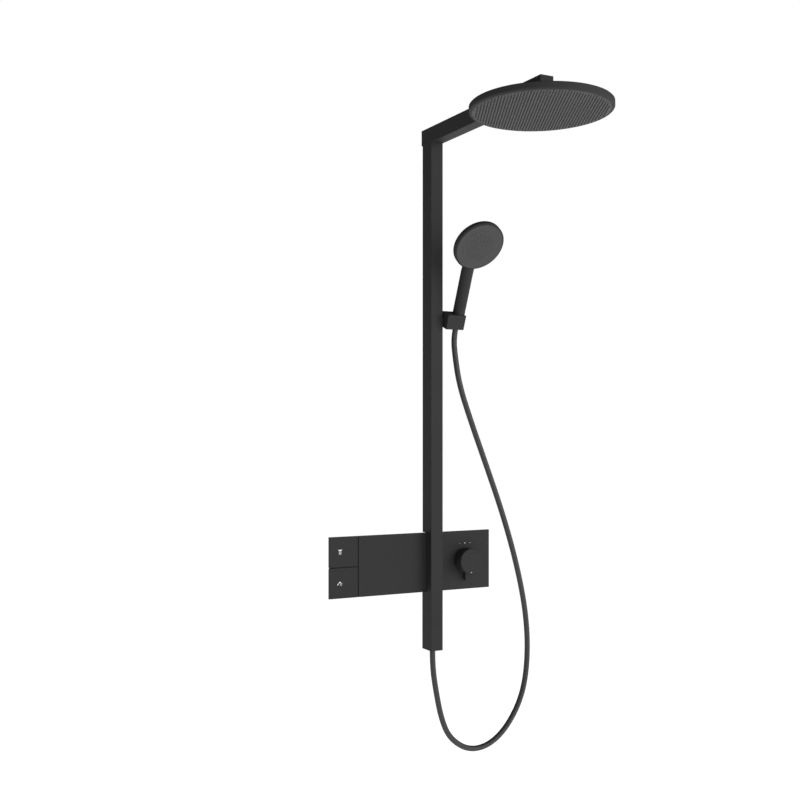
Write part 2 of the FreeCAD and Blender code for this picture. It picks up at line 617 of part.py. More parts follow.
def make_cartridges():
    """Thermostat cartridge with its spindle, and one push cartridge with its stem behind each button."""
    nose = "-(panel_front + 0.5)"
    body = rod("mixer_body", "mixer_radius", f"valve_depth - 5 - ({nose})", "knob_axis_x", nose, "0", "y")
    keep(less("thermostat_cartridge", body, [
        rod("mixer_bore", "spindle_radius + spindle_fit", "30", "knob_axis_x", f"{nose} - 1", "0", "y")]))
    keep(rod("thermostat_spindle", "spindle_radius", "knob_front - 12 - panel_front + 25",
             "knob_axis_x", "-(knob_front - 12)", "0", "y"))
    for name, side in (("overhead", ""), ("handshower", "-")):
        z = f"{side}BUTTON_Z"
        cartridge = rod(name + "_cartridge_body", "push_radius", "push_length", "-BUTTON_X", "1", z, "y")
        keep(less(name + "_cartridge", cartridge, [
            rod(name + "_cartridge_bore", "stem_radius + stem_fit", "stem_depth + button_travel + 2",
                "-BUTTON_X", "0", z, "y")]))
        keep(rod(name + "_stem", "stem_radius", f"{BUTTON_BACK} - 1 + stem_depth", "-BUTTON_X",
                 f"-({BUTTON_BACK} - 1)", z, "y"))


def make_button(name, low, high, z):
    """Square push button: a plate with a socket behind it for the stem."""
    body = plate(name, BUTTON_BACK, "plate_thick", lambda s: rectangle(
        s, "-panel_left", SPLIT, low, high))
    socket = sketch_on(body, "XZ_Plane", f"{BUTTON_BACK} - 0.5")
    circle(socket, "-BUTTON_X", z, "stem_radius + 2")
    pad(body, socket, "1")
    bore = sketch_on(body, "XZ_Plane", f"{BUTTON_BACK} - 1")
    circle(bore, "-BUTTON_X", z, "stem_radius")
    pocket(body, bore, "2", along_normal=True)
    keep(body)


def make_knob():
    """Temperature knob: a cup turned about the spindle, with a lever at its base and a stop button."""
    back = "panel_front + knob_gap"
    r, wall = "knob_radius", "knob_wall"
    knob = turned("temperature_knob", [
        ("spindle_radius", back + " + 3"), ("spindle_radius + 3", back + " + 3"),
        ("spindle_radius + 3", f"knob_front - {wall}"), (f"{r} - {wall}", f"knob_front - {wall}"),
        (f"{r} - {wall}", back), (r, back), (r, "knob_front - 1.2"), (f"{r} - 1.2", "knob_front"),
        ("0", "knob_front"), ("0", "knob_front - 12"), ("spindle_radius", "knob_front - 12"),
    ], role="XY_Plane")
    seat = sketch_on(knob, "XY_Plane", f"{r} - {wall} - 2")
    circle(seat, "0", "stop_depth", "stop_radius + 0.3")
    pocket(knob, seat, "10", along_normal=True)
    slot = sketch_on(knob, "XZ_Plane", f"-({back}) - lever_thick")
    rectangle(slot, "-lever_width / 2", "lever_width / 2", f"-{r} - 1", f"-{r} + {wall} + 1")
    pocket(knob, slot, "lever_thick + 1", along_normal=True)
    place(knob, "knob_axis_x", "0", "0", "180", Vector(0, 0, 1))
    lever = plate("knob_lever", back, "lever_thick", lambda s: rectangle(
        s, "knob_axis_x - lever_width / 2", "knob_axis_x + lever_width / 2", "-lever_reach",
        f"-{r} + {wall} + 0.5"))
    keep(lever)
    keep(rod("stop_button", "stop_radius", f"{wall} + stop_proud + stop_travel", "knob_axis_x",
             "-stop_depth", f"{r} - {wall} - stop_travel"))


# ---------------------------------------------------------------- water path in the lower column
def make_column_ports():
    """Brass elbows from the valve into the column, the lower tube and the hose outlet."""
    for name, side, tube_side in (("riser_elbow", "", "9"), ("outlet_elbow", "-", "-9")):
        z = f"{side}port_height"
        front = "-riser_front + riser_wall + 0.6"
        body = joined(name + "_solid", [
            block(name + "_block", "-10", "10", front, "-panel_front - riser_wall - 0.4",
                  f"{z} - 11", f"{z} + 11"),
            rod(name + "_spigot", "port_radius", "panel_front + riser_wall + 14", "0",
                "-panel_front - riser_wall - 1", z, "y"),
        ])
        low = z if side == "" else f"{z} - 12"
        seat_low = f"{z} + 9" if side == "" else f"{z} - 12"
        keep(less(name, body, [
            rod(name + "_bore", "4.5", "12", "0", "-TUBE_Y", low),
            rod(name + "_cross", "4.5", "60", "0", "-TUBE_Y", z, "y"),
            rod(name + "_seat", "tube_radius", "3", "0", "-TUBE_Y", seat_low),
        ]))
    top, bottom = "-port_height - 9", "-lower_end + nut_recess + nut_length + outlet_block - 6"
    keep(less("lower_water_tube",
              rod("lower_tube_outer", "tube_radius", f"{top} - ({bottom})", "0", "-TUBE_Y", bottom),
              [rod("lower_tube_inner", "tube_radius - tube_wall", f"{top} - ({bottom})", "0",
                   "-TUBE_Y", bottom)]))
    base = "-lower_end + nut_recess + nut_length"
    inset = "(riser_wall + 0.4)"
    outlet = block("outlet_solid", f"-riser_width / 2 + {inset}", f"riser_width / 2 - {inset}",
                   f"-riser_front + {inset}", f"-lower_back_gap - {inset}", base, f"{base} + outlet_block")
    keep(less("hose_outlet", outlet, [
        rod("outlet_seat", "tube_radius", "7", "0", "-TUBE_Y", f"{base} + outlet_block - 6"),
        rod("outlet_top_bore", "5", "outlet_block - 10", "0", "-TUBE_Y", f"{base} + 11"),
        rod("outlet_low_bore", "5", "18", "0", "-OUTLET_Y", base),
        rod("outlet_thread", "nipple_radius", "10", "0", "-OUTLET_Y", f"{base} - 1"),
    ]))
    keep(less("hose_nipple",
              rod("nipple_outer", "nipple_radius", "9 + nut_length - 3", "0", "-OUTLET_Y",
                  f"{base} - nut_length + 3"),
              [rod("nipple_inner", "nipple_bore", "30", "0", "-OUTLET_Y", f"{base} - 20")]))
    nut = rod("nut_outer", "nut_radius", "nut_length - 0.2", "0", "-OUTLET_Y", "-lower_end + nut_recess")
    keep(less("hose_nut", nut, [
        rod("nut_thread", "nipple_radius", "20", "0", "-OUTLET_Y", f"{base} - nut_length + 3"),
        rod("nut_mouth", "nipple_bore", "20", "0", "-OUTLET_Y", "-lower_end - 2")]))
    edge = "(riser_wall + 0.05)"
    cap = block("end_cap_solid", f"-riser_width / 2 + {edge}", f"riser_width / 2 - {edge}",
                f"-riser_front + {edge}", f"-lower_back_gap - {edge}", "-lower_end + 0.5",
                "-lower_end + 3.5")
    keep(less("column_end_cap", cap, [
        rod("end_cap_hole", "nut_radius + 0.8", "6", "0", "-OUTLET_Y", "-lower_end - 1")]))


# ---------------------------------------------------------------- holder and hand shower
def on_lean(piece):
    """Set a piece made about the cradle's axis into its leaning place."""
    return place(piece, "CRADLE_X", "-CRADLE_Y", "cradle_z", "lean")


def make_holder():
    """Holder block with a stepped cradle, open at its right for the hose, on a pivot in the riser."""
    body = new_body("holder_block")
    section = sketch_on(body, "XY_Plane", "-block_bottom")
    rectangle(section, "-block_left", "block_right", "-block_half_depth", "block_half_depth")
    solid = pad(body, section, "block_bottom + block_top")
    soften(body, solid, lambda e: True, "edge_break")
    cup = sketch_on(body, "XY_Plane", "cradle_floor - 0.2")
    circle(cup, "0", "0", "cradle_radius")
    pocket(body, cup, "30", along_normal=True)
    throat = sketch_on(body, "XY_Plane", "-block_bottom - 1")
    circle(throat, "0", "0", "cone_top + grip_clear")
    pocket(body, throat, "block_bottom + cradle_floor + 2", along_normal=True)
    slot = sketch_on(body, "XY_Plane", "-block_bottom - 1")
    rectangle(slot, "0", "block_right + 1", "-slot_half", "slot_half")
    pocket(body, slot, "block_bottom + block_top + 3", along_normal=True)
    bore = sketch_on(body, "YZ_Plane", "-block_left - 1")
    circle(bore, "pivot_back", "pivot_up", "pivot_radius + pivot_fit")
    pocket(body, bore, "pivot_depth + 1.5", along_normal=True)
    on_lean(keep(body))
    y, z, side = "-PIVOT_Y", "PIVOT_Z", "riser_width / 2"
    keep(joined("holder_pivot", [
        rod("pivot_pin", "pivot_radius", f"CRADLE_X - block_left + pivot_depth - {side} + 6",
            f"{side} - 6", y, z, "x"),
        rod("pivot_head", "pivot_radius + 0.8", "3.5", f"{side} - riser_wall - 3.6", y, z, "x")]))
    washer = rod("washer_disc", "pivot_flange", f"CRADLE_X - block_left - {side} - 0.2", side, y, z, "x")
    keep(less("pivot_washer", washer, [rod("washer_hole", "pivot_radius", "20", "10", y, z, "x")]))


def make_hand_shower():
    """Hand shower: one hollow moulding of grip and head, face plate, nozzle disc, inlet and inner tube."""
    face = Placement(
        Vector(0, -number("head_forward"), number("head_up")), Rotation(Vector(1, 0, 0), number("head_tilt"))
    )
    r, wall = number("head_radius"), number("head_wall")
    grip, thick, edge = number("grip_radius"), number("head_thick"), number("head_edge")

    def disc(radius, near, far):
        """A round slab parallel to the face, from `near` to `far` behind it."""
        slab = Part.makeCylinder(radius, far - near, Vector(0, near, 0), Vector(0, 1, 0))
        slab.Placement = face.multiply(slab.Placement)
        return slab

    def ring(radius, behind):
        """A circle parallel to the face, for a loft."""
        line = Part.makeCircle(radius, Vector(0, behind, 0), Vector(0, 1, 0))
        line.Placement = face.multiply(line.Placement)
        return Part.Wire([line])

    def grip_ring(radius, z, y=0.0):
        return Part.Wire([Part.makeCircle(radius, Vector(0, y, z), Vector(0, 0, 1))])

    def outer(inset):
        """The whole moulding, or its cavity when inset by the wall."""
        straight = number("grip_straight")
        bottom = number("cradle_floor")
        tube = Part.makeCylinder(grip - inset, straight - bottom, Vector(0, 0, bottom))
        neck = Part.makeLoft([
            grip_ring(grip - inset, straight), grip_ring(grip - inset - 0.3, straight + 22, -1.5),
            grip_ring(grip - inset - 2.5, straight + 44, -7), grip_ring(grip - inset - 6, straight + 62, -15),
        ], True)
        head = Part.makeLoft([ring(r - edge, 0), ring(r, edge)], True, True)
        head = head.fuse([disc(r - inset, edge, thick - 5)])
        back = Part.makeLoft([ring(r - inset, thick - 5), ring(r - 7 - inset, thick - inset)], True, True)
        return tube.fuse([neck, head, back]).removeSplitter()

    shell = outer(0)
    hollow = Part.makeCylinder(number("face_radius"), thick - wall - number("face_recess"),
                               Vector(0, -1, 0), Vector(0, 1, 0))
    hollow.Placement = face.multiply(hollow.Placement)
    inlet_depth = number("cradle_floor") + 24
    bore = Part.makeCylinder(grip - number("grip_wall"), number("grip_straight") - 8 - inlet_depth,
                             Vector(0, 0, inlet_depth))
    way_in = Part.makeCylinder(number("thread_radius") + 0.5, inlet_depth + 5, Vector(0, 0, 0))
    way_up = Part.makeCylinder(6.2, 70, Vector(0, 0, number("grip_straight") - 10), Vector(0, -0.16, 1))
    shell = shell.cut([hollow, bore, way_in, way_up])
    keep_shape("handset_shell", shell)

    recess, plate_thick = number("face_recess"), number("face_thick")
    keep_shape("handset_face", disc(number("face_radius") - 0.05, recess, recess + plate_thick).cut(
        disc(number("hand_nozzle_radius"), recess - 1, recess + plate_thick + 1)))
    keep_shape("handset_nozzle_disc", disc(number("hand_nozzle_radius") - 0.05, recess - 0.3,
                                           recess + plate_thick).fuse([
        disc(number("face_radius") - 3, recess + plate_thick, recess + plate_thick + 1.5)]))
    floor = number("cradle_floor")
    top = number("grip_straight") - 12
    inlet = Part.makeCylinder(number("thread_radius") + 0.4, 24 + 12, Vector(0, 0, floor - 12))
    keep_shape("handset_inlet", inlet.cut([Part.makeCylinder(4.5, 40, Vector(0, 0, floor - 14))]))
    tube = Part.makeCylinder(6, top - floor - 24, Vector(0, 0, floor + 24))
    keep_shape("handset_water_tube", tube.cut([Part.makeCylinder(4.5, 120, Vector(0, 0, floor))]))
    low = -number("cone_bottom")
    cone = Part.makeCone(number("cone_low"), number("cone_top"), floor - 0.2 - low, Vector(0, 0, low))
    thread = Part.makeCylinder(number("thread_radius") + 0.4, 40, Vector(0, 0, floor - 12))
    mouth = Part.makeCylinder(4.5, 30, Vector(0, 0, low - 5))
    keep_shape("hose_cone_nut", cone.cut([thread, mouth]))


def keep_shape(name, shape):
    """A piece made with Part's own functions about the cradle's axis."""
    piece = doc.addObject("Part::Feature", name)
    piece.Shape = shape
    return on_lean(keep(piece))


# ---------------------------------------------------------------- hose
HOSE_ROUTE = [
    (51.0, -41.65, 531.6), (51.0, -32.40, 509.0), (54.2, -29.6, 472.0), (68.5, -30.0, 402.0),
    (97.0, -29.0, 325.0), (139.3, -28.0, 222.0), (186.0, -27.0, 103.0), (225.5, -26.0, -15.0),
    (253.0, -24.25, -133.0), (262.0, -24.25, -235.0), (251.0, -24.25, -330.0), (210.0, -24.25, -405.0),
    (152.0, -24.25, -442.0), (93.0, -24.25, -445.0), (45.0, -24.25, -414.0), (19.0, -24.25, -360.0),
    (6.5, -24.25, -290.0), (0.0, -24.25, -236.0), (0.0, -24.25, -196.0),
]
ARC_SHARE = 0.45


def hose_path(points):
    """Straight runs joined by tangent arcs, each as large as its two runs allow."""
    spots = [Vector(*p) for p in points]
    edges, start, radii = [], spots[0], []
    for before, corner, after in zip(spots, spots[1:], spots[2:]):
        back, on = (before - corner), (after - corner)
        reach = ARC_SHARE * min(back.Length, on.Length)
        back.normalize()
        on.normalize()
        half_turn = (math.pi - back.getAngle(on)) / 2
        radii.append(reach / math.tan(half_turn))
        enter, leave = corner + back * reach, corner + on * reach
        inward = (back + on).normalize()
        middle = corner + inward * (radii[-1] / math.cos(half_turn) - radii[-1])
        edges.append(Part.LineSegment(start, enter).toShape())
        edges.append(Part.Arc(enter, middle, leave).toShape())
        start = leave
    edges.append(Part.LineSegment(start, spots[-1]).toShape())
    return Part.Wire(edges), radii


def make_hose():
    """Hose from the outlet under the column up to the hand shower."""
    radius = number("hose_radius")
    path, radii = hose_path(HOSE_ROUTE)
    first = path.Edges[0]
    direction = first.tangentAt(first.FirstParameter)
    profile = Part.Wire([Part.makeCircle(radius, path.Edges[0].valueAt(first.FirstParameter), direction)])
    tube = path.makePipeShell([profile], True, False)
    print("hose radii:", [round(value) for value in radii], "length:", round(path.Length))
    expected = math.pi * radius ** 2 * path.Length
    if abs(tube.Volume - expected) > 0.01 * expected:
        raise RuntimeError(f"the hose's volume {tube.Volume:.0f} is not {expected:.0f}")
    piece = doc.addObject("Part::Feature", "shower_hose")
    piece.Shape = tube
    keep(piece)


# ---------------------------------------------------------------- build
make_upper_riser()
make_lower_column()
make_arm()
make_arm_end_cap()
make_upper_bracket()
make_riser_tubes()
make_ball_joint()
make_overhead_disc()
make_front_plate()
make_housing()
make_bracket_plate()
make_valve()
make_cartridges()
make_button("overhead_button", "button_gap / 2", "panel_half", "BUTTON_Z")
make_button("handshower_button", "-panel_half", "-button_gap / 2", "-BUTTON_Z")
make_knob()
make_column_ports()
make_holder()
make_hand_shower()
make_hose()
doc.recompute()

failed = [o.Name for o in doc.Objects if "Invalid" in o.State or "Error" in o.State]
for piece in parts:
    if piece.Shape.isNull() or not piece.Shape.isValid() or not piece.Shape.Solids:
        failed.append(piece.Name)
if failed:
    raise RuntimeError("these objects failed: " + ", ".join(failed))

os.makedirs("parts", exist_ok=True)
for piece in parts:
    piece.Shape.exportStep(f"parts/{piece.Label}.step")
print(len(parts), "parts written")
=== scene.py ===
# %% [markdown]
# # A rainfall shower column
#
# This lesson dresses an engineered shower column for the camera. A square riser stands in front of the
# wall, an arm carries a wide spray disc over the user, a hand shower rests in a tilting holder, and a
# flat panel holds two push buttons and a temperature knob. The engineered parts arrive ready shaped and
# ready to move, so the work here is the camera, the soft hose, the small repeated details, the finishes
# and the light.

# %% Load the engineered parts
import math

import bmesh
import bpy
from mathutils import Matrix, Vector
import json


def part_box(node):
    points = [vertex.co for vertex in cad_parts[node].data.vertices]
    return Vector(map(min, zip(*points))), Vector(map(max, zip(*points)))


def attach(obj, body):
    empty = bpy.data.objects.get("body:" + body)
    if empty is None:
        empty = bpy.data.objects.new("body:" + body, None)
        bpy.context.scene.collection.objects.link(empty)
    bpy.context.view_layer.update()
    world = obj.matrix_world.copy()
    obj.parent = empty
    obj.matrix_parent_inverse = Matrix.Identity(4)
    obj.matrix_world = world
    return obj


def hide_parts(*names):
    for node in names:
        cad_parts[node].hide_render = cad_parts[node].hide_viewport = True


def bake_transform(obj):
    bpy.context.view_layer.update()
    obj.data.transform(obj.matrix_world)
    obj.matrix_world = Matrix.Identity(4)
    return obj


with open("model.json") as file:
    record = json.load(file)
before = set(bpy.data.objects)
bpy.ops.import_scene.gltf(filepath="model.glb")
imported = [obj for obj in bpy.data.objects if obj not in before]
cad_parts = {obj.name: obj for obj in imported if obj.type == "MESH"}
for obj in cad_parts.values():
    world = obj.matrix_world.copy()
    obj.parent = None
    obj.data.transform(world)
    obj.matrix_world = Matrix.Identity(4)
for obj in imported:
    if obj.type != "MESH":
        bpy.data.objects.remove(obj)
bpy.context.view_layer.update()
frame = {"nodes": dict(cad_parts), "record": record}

# %% [markdown]
# ## The camera
#
# A tall, thin product is best seen from far enough away that its edges stay parallel. Tipping the camera
# up would make the riser lean, so the camera stays level and its lens is shifted up a little instead, as
# an architect's camera does. It stands left of the column and looks across it, which shows two faces of
# every square tube.

# %% Place the camera
SENSOR_WIDTH = 36.0
FOCAL_LENGTH = 50.235
LENS_RISE = 0.03375
CAMERA_PLACE = (-1.2498, -2.2211, 0.3054)
LEVEL = math.radians(90.0)
TURNED_RIGHT = math.radians(-27.97)

camera_data = bpy.data.cameras.new("studio_camera")
camera_data.sensor_width = SENSOR_WIDTH
camera_data.lens = FOCAL_LENGTH
camera_data.shift_y = LENS_RISE
camera = bpy.data.objects.new("studio_camera", camera_data)
camera.location = CAMERA_PLACE
camera.rotation_euler = (LEVEL, 0.0, TURNED_RIGHT)
bpy.context.collection.objects.link(camera)
bpy.context.scene.camera = camera
print("camera", round(camera.location.length, 2), "m from the wall panel")

# %% [markdown]
# ## The hose line
#
# The hose leaves the bottom of the column, hangs in one long loop and climbs to the hand shower. It is a
# fixed length of stiff tube, so its line is one smooth curve with few control points: a NURBS spline is
# drawn towards its points without passing through them, which bends it the way a real hose bends. Its
# order and end points are set once the points are there. A curve without thickness turns into a chain of
# close points, and everything that follows the hose reads those.

# %% Draw the hose line
HOSE_POINTS = [
    (0.0510, -0.04165, 0.5316), (0.0510, -0.0324, 0.5090), (0.0555, -0.0296, 0.4720),
    (0.0670, -0.0300, 0.4030), (0.0965, -0.0290, 0.3245), (0.1390, -0.0280, 0.2220),
    (0.1870, -0.0270, 0.1035), (0.2265, -0.0260, -0.0150), (0.2545, -0.02425, -0.1320),
    (0.2605, -0.02425, -0.2355), (0.2460, -0.02425, -0.3275), (0.2020, -0.02425, -0.3985),
    (0.1510, -0.02425, -0.4350), (0.0960, -0.02425, -0.4390), (0.0465, -0.02425, -0.4070),
    (0.0235, -0.02425, -0.3600), (0.0085, -0.02425, -0.2910), (0.0, -0.02425, -0.2360),
    (0.0, -0.02425, -0.1960),
]  # fmt: skip
HOSE_RADIUS = 0.0065

line = bpy.data.curves.new("hose_line", "CURVE")
line.dimensions = "3D"
spline = line.splines.new("NURBS")
spline.points.add(len(HOSE_POINTS) - 1)
for point, place in zip(spline.points, HOSE_POINTS):
    point.co = (*place, 1.0)
SMOOTH_STEPS = 64
spline.order_u = 3
spline.use_endpoint_u = True
spline.resolution_u = SMOOTH_STEPS
line_object = bpy.data.objects.new("hose_line", line)
bpy.context.collection.objects.link(line_object)
bpy.context.view_layer.update()
read = bpy.data.meshes.new_from_object(
    line_object.evaluated_get(bpy.context.evaluated_depsgraph_get())
)
hose_line = [vertex.co.copy() for vertex in read.vertices]
if hose_line[0].z > hose_line[-1].z:
    hose_line.reverse()
bpy.data.objects.remove(line_object)


def along(points):
    """How far each point is from the first, along the line."""
    run = [0.0]
    for a, b in zip(points, points[1:]):
        run.append(run[-1] + (b - a).length)
    return run


hose_run = along(hose_line)
print("hose line", len(hose_line), "points,", round(hose_run[-1], 4), "m")

# %% [markdown]
# ## One small class for node trees
#
# Node trees are easier to read as sums than as lists of links. This class holds one socket of a tree.
# Adding, taking away, multiplying or dividing makes the Math node, and every other kind of node comes
# from one method that is given its settings first and then its inputs. The same class serves materials
# and Geometry Nodes.


# %% Wrap a socket
class Wire:
    """A socket in a node tree that can stand in a sum."""

    def __init__(self, tree, socket=None):
        self.tree = tree
        self.socket = socket

    def node(self, kind, settings=None, inputs=None, output=0):
        """A new node of a kind, with its settings and its inputs, as the wire of one output."""
        made = self.tree.nodes.new(kind)
        for name, value in (settings or {}).items():
            if name == "stops":
                ramp = made.color_ramp.elements
                for place, _ in value[1:-1]:
                    ramp.new(place)
                for element, (place, shade) in zip(ramp, value):
                    element.position = place
                    element.color = (shade, shade, shade, 1.0)
            else:
                setattr(made, name, value)
        for name, value in (inputs or {}).items():
            if isinstance(value, Wire):
                self.tree.links.new(value.socket, made.inputs[name])
            else:
                made.inputs[name].default_value = value
        return Wire(self.tree, made.outputs[output])

    def maths(self, operation, first, second=0.0):
        return self.node("ShaderNodeMath", {"operation": operation}, {0: first, 1: second})

    def __add__(self, other):
        return self.maths("ADD", self, other)

    def __sub__(self, other):
        return self.maths("SUBTRACT", self, other)

    def __mul__(self, other):
        return self.maths("MULTIPLY", self, other)

    def __truediv__(self, other):
        return self.maths("DIVIDE", self, other)

    def __rsub__(self, other):
        return self.maths("SUBTRACT", other, self)

    __radd__ = __add__
    __rmul__ = __mul__

    def feed(self, socket):
        self.tree.links.new(self.socket, socket)


print("made", Wire.__name__, "which can add, take away, multiply and divide")

# %% [markdown]
# ## Finishes
#
# Every finish is worked out in the part's own space, in metres, so its grain has a true size and never
# slides. Each has three scales: broad clouds that shift the colour a little, a middle relief such as the
# orange peel of a sprayed coat, and a fine grain that breaks up the shine. Helpers start a material, make
# a noise and join the results to the shader; each finish then states only what makes it different.


# %% Helpers for finishes
def start_finish(name, metallic=0.0, specular=0.5):
    """A new material, its shader and the part's own coordinates."""
    material = bpy.data.materials.new(name)
    material.use_nodes = True
    shader = material.node_tree.nodes["Principled BSDF"]
    shader.inputs["Metallic"].default_value = metallic
    shader.inputs["Specular IOR Level"].default_value = specular
    place = Wire(material.node_tree).node("ShaderNodeTexCoord", output="Object")
    return material, shader, place


def noise(place, scale, detail=2.0, roughness=0.5):
    """Soft uneven spots, as many to the metre as the scale says."""
    return place.node(
        "ShaderNodeTexNoise",
        inputs={"Vector": place, "Scale": scale, "Detail": detail, "Roughness": roughness},
    )


def cells(place, scale):
    """Small closed cells, each darkest in its middle."""
    return place.node("ShaderNodeTexVoronoi", inputs={"Vector": place, "Scale": scale})


def stretched(place, scale):
    """The same space drawn out, for brushed or turned marks."""
    return place.node("ShaderNodeMapping", inputs={"Vector": place, "Scale": scale})


def blended(amount, first, second):
    """A colour that goes from the first to the second as amount goes from 0 to 1."""
    return amount.node(
        "ShaderNodeMix",
        {"data_type": "RGBA"},
        {0: amount, 6: (*first, 1.0), 7: (*second, 1.0)},
        output=2,
    )


def end_finish(shader, colour, roughness, height, depth, strength=1.0):
    """Join a colour, a roughness and a relief to the shader."""
    colour.feed(shader.inputs["Base Color"])
    roughness.feed(shader.inputs["Roughness"])
    bump = height.node(
        "ShaderNodeBump", inputs={"Height": height, "Strength": strength, "Distance": depth}
    )
    bump.feed(shader.inputs["Normal"])


print("helpers ready:", start_finish.__name__, noise.__name__, end_finish.__name__)

# %% [markdown]
# ### Satin black powder coat
#
# The riser, arm, panel and knob are metal with a sprayed and baked coat. Up close such a coat has a soft
# orange peel about two millimetres wide and a fine dry grain on top. The black is slightly lighter where
# the coat is thin, and its shine changes a little from patch to patch.


# %% Powder coat
def powder_coat():
    material, shader, place = start_finish("satin_powder_coat", specular=0.22)
    clouds = noise(place, 7.0, 3.0)
    peel = noise(place, 480.0, 2.0)
    grain = noise(place, 2600.0, 3.0, 0.6)
    colour = blended(clouds * 0.6 + grain * 0.4, (0.0150, 0.0150, 0.0154), (0.0270, 0.0270, 0.0274))
    roughness = 0.60 + clouds * 0.06 + grain * 0.06
    end_finish(shader, colour, roughness, peel * 0.7 + grain * 0.3, 0.00006)
    return material


POWDER_COAT = powder_coat()
print("made", POWDER_COAT.name)

# %% [markdown]
# ### Moulded black plastic
#
# The holder, the hand shower and the disc's rim are moulded. The steel mould is spark eroded, which
# leaves a fine leathery grain of small cells, as dull as the powder coat. The push buttons are the same
# plastic with a closer grain and a trace more shine.


# %% Moulded plastic
def moulded_plastic(name, cell_scale, base_roughness, dark, light):
    material, shader, place = start_finish(name, specular=0.22)
    clouds = noise(place, 11.0, 2.0)
    pits = cells(place, cell_scale)
    grain = noise(place, cell_scale * 1.7, 2.0, 0.6)
    colour = blended(clouds * 0.5 + grain * 0.5, dark, light)
    roughness = base_roughness + clouds * 0.05 + pits * 0.08
    end_finish(shader, colour, roughness, pits * 0.6 + grain * 0.4, 0.00005)
    return material


BODY_PLASTIC = moulded_plastic(
    "moulded_black_plastic", 1700.0, 0.60, (0.0140, 0.0140, 0.0144), (0.0250, 0.0250, 0.0254)
)
BUTTON_PLASTIC = moulded_plastic(
    "button_plastic_fine", 2600.0, 0.58, (0.0150, 0.0150, 0.0154), (0.0260, 0.0260, 0.0264)
)
print("made", BODY_PLASTIC.name, "and", BUTTON_PLASTIC.name)

# %% [markdown]
# ### Spray silicone in three greys
#
# The sheet behind the spray faces and the nozzles are soft silicone, so that lime can be rubbed off. It
# is dull and faintly mottled from moulding. The sheet of the overhead disc is the lightest grey, the face
# of the hand shower is a darker one, and the nozzles are nearly black, which is what makes their rows
# show.


# %% Silicone
def silicone(name, dark, light):
    material, shader, place = start_finish(name, specular=0.35)
    mottle = noise(place, 160.0, 3.0, 0.6)
    grain = noise(place, 1900.0, 2.0)
    colour = blended(mottle * 0.7 + grain * 0.3, dark, light)
    roughness = 0.55 + mottle * 0.12
    end_finish(shader, colour, roughness, mottle * 0.4 + grain * 0.6, 0.00005)
    return material


SPRAY_SHEET = silicone("spray_plate_silicone", (0.042, 0.042, 0.042), (0.060, 0.060, 0.059))
SPRAY_FACE = silicone("hand_spray_face", (0.030, 0.030, 0.030), (0.044, 0.044, 0.044))
NOZZLE_SKIN = silicone("dark_nozzle_silicone", (0.011, 0.011, 0.011), (0.019, 0.019, 0.019))
print("made", SPRAY_SHEET.name, SPRAY_FACE.name, NOZZLE_SKIN.name)

# %% [markdown]
# ### Hose skin and hose fittings
#
# The hose is a soft tube with a fine wire wound inside it, so its skin rises over every turn. The groove
# between turns is stored on the mesh when the hose is made. The skin is duller there, and its colour is
# painted darker there as painted shade. The nuts at its ends are the same plastic without the winding.


# %% Hose plastic
def hose_plastic(name, has_winding):
    material, shader, place = start_finish(name, specular=0.42)
    mottle = noise(place, 240.0, 3.0, 0.6)
    grain = noise(place, 2400.0, 2.0)
    tone_and_groove_shade = mottle * 0.6 + grain * 0.4
    if has_winding:
        # Painted shade: where the hose is wound, its colour is darker in the groove between turns than on
        # the crests.
        crest = place.node("ShaderNodeAttribute", {"attribute_name": "crest"}, output="Fac")
        tone_and_groove_shade = tone_and_groove_shade * 0.5 + crest * 0.5
    colour = blended(tone_and_groove_shade, (0.0125, 0.0145, 0.0152), (0.035, 0.039, 0.0405))
    roughness = 0.52 - tone_and_groove_shade * 0.14
    end_finish(shader, colour, roughness, grain, 0.00003)
    return material


HOSE_FITTINGS = hose_plastic("hose_fitting_plastic", False)
HOSE_SKIN = hose_plastic("hose_skin", True)
print("made", HOSE_FITTINGS.name, "and", HOSE_SKIN.name)

# %% [markdown]
# ### Working parts: brass, plated steel, white plastic and rubber
#
# These sit behind the panel and inside the tubes, but they show from behind and from below. Brass carries
# turning marks and a slightly brown skin, zinc plating is a brushed grey with pale bloom, the water ways
# are plain white plastic, and the seals are dull black rubber. A mark that runs one way, as from a lathe
# or a brush, is the same noise with its space stretched.


# %% Metals
def turned_brass():
    material, shader, place = start_finish("turned_brass", metallic=1.0)
    tarnish = noise(place, 45.0, 4.0, 0.65)
    marks = noise(stretched(place, (1.0, 1.0, 18.0)), 260.0, 2.0)
    colour = blended(tarnish, (0.46, 0.30, 0.12), (0.80, 0.60, 0.30))
    end_finish(shader, colour, 0.24 + tarnish * 0.2 + marks * 0.1, marks, 0.00005)
    return material


def plated_steel():
    material, shader, place = start_finish("zinc_plated_steel", metallic=1.0)
    bloom = noise(place, 60.0, 4.0, 0.6)
    brush = noise(stretched(place, (14.0, 1.0, 1.0)), 300.0, 2.0)
    colour = blended(bloom, (0.40, 0.41, 0.42), (0.66, 0.67, 0.68))
    end_finish(shader, colour, 0.30 + bloom * 0.16 + brush * 0.1, brush, 0.00004)
    return material


BRASS = turned_brass()
ZINC = plated_steel()
print("made", BRASS.name, "and", ZINC.name)


# %% Water plastic and rubber
def white_plastic():
    material, shader, place = start_finish("white_water_plastic")
    flow = noise(place, 30.0, 3.0)
    grain = noise(place, 1500.0, 2.0)
    colour = blended(flow, (0.66, 0.66, 0.63), (0.80, 0.80, 0.78))
    end_finish(shader, colour, 0.34 + flow * 0.1 + grain * 0.06, grain, 0.00004)
    return material


def seal_rubber():
    material, shader, place = start_finish("wall_seal_rubber", specular=0.3)
    bloom = noise(place, 90.0, 4.0, 0.7)
    pores = cells(place, 900.0)
    colour = blended(bloom, (0.010, 0.010, 0.010), (0.035, 0.035, 0.036))
    end_finish(shader, colour, 0.72 + bloom * 0.14, pores, 0.0001)
    return material


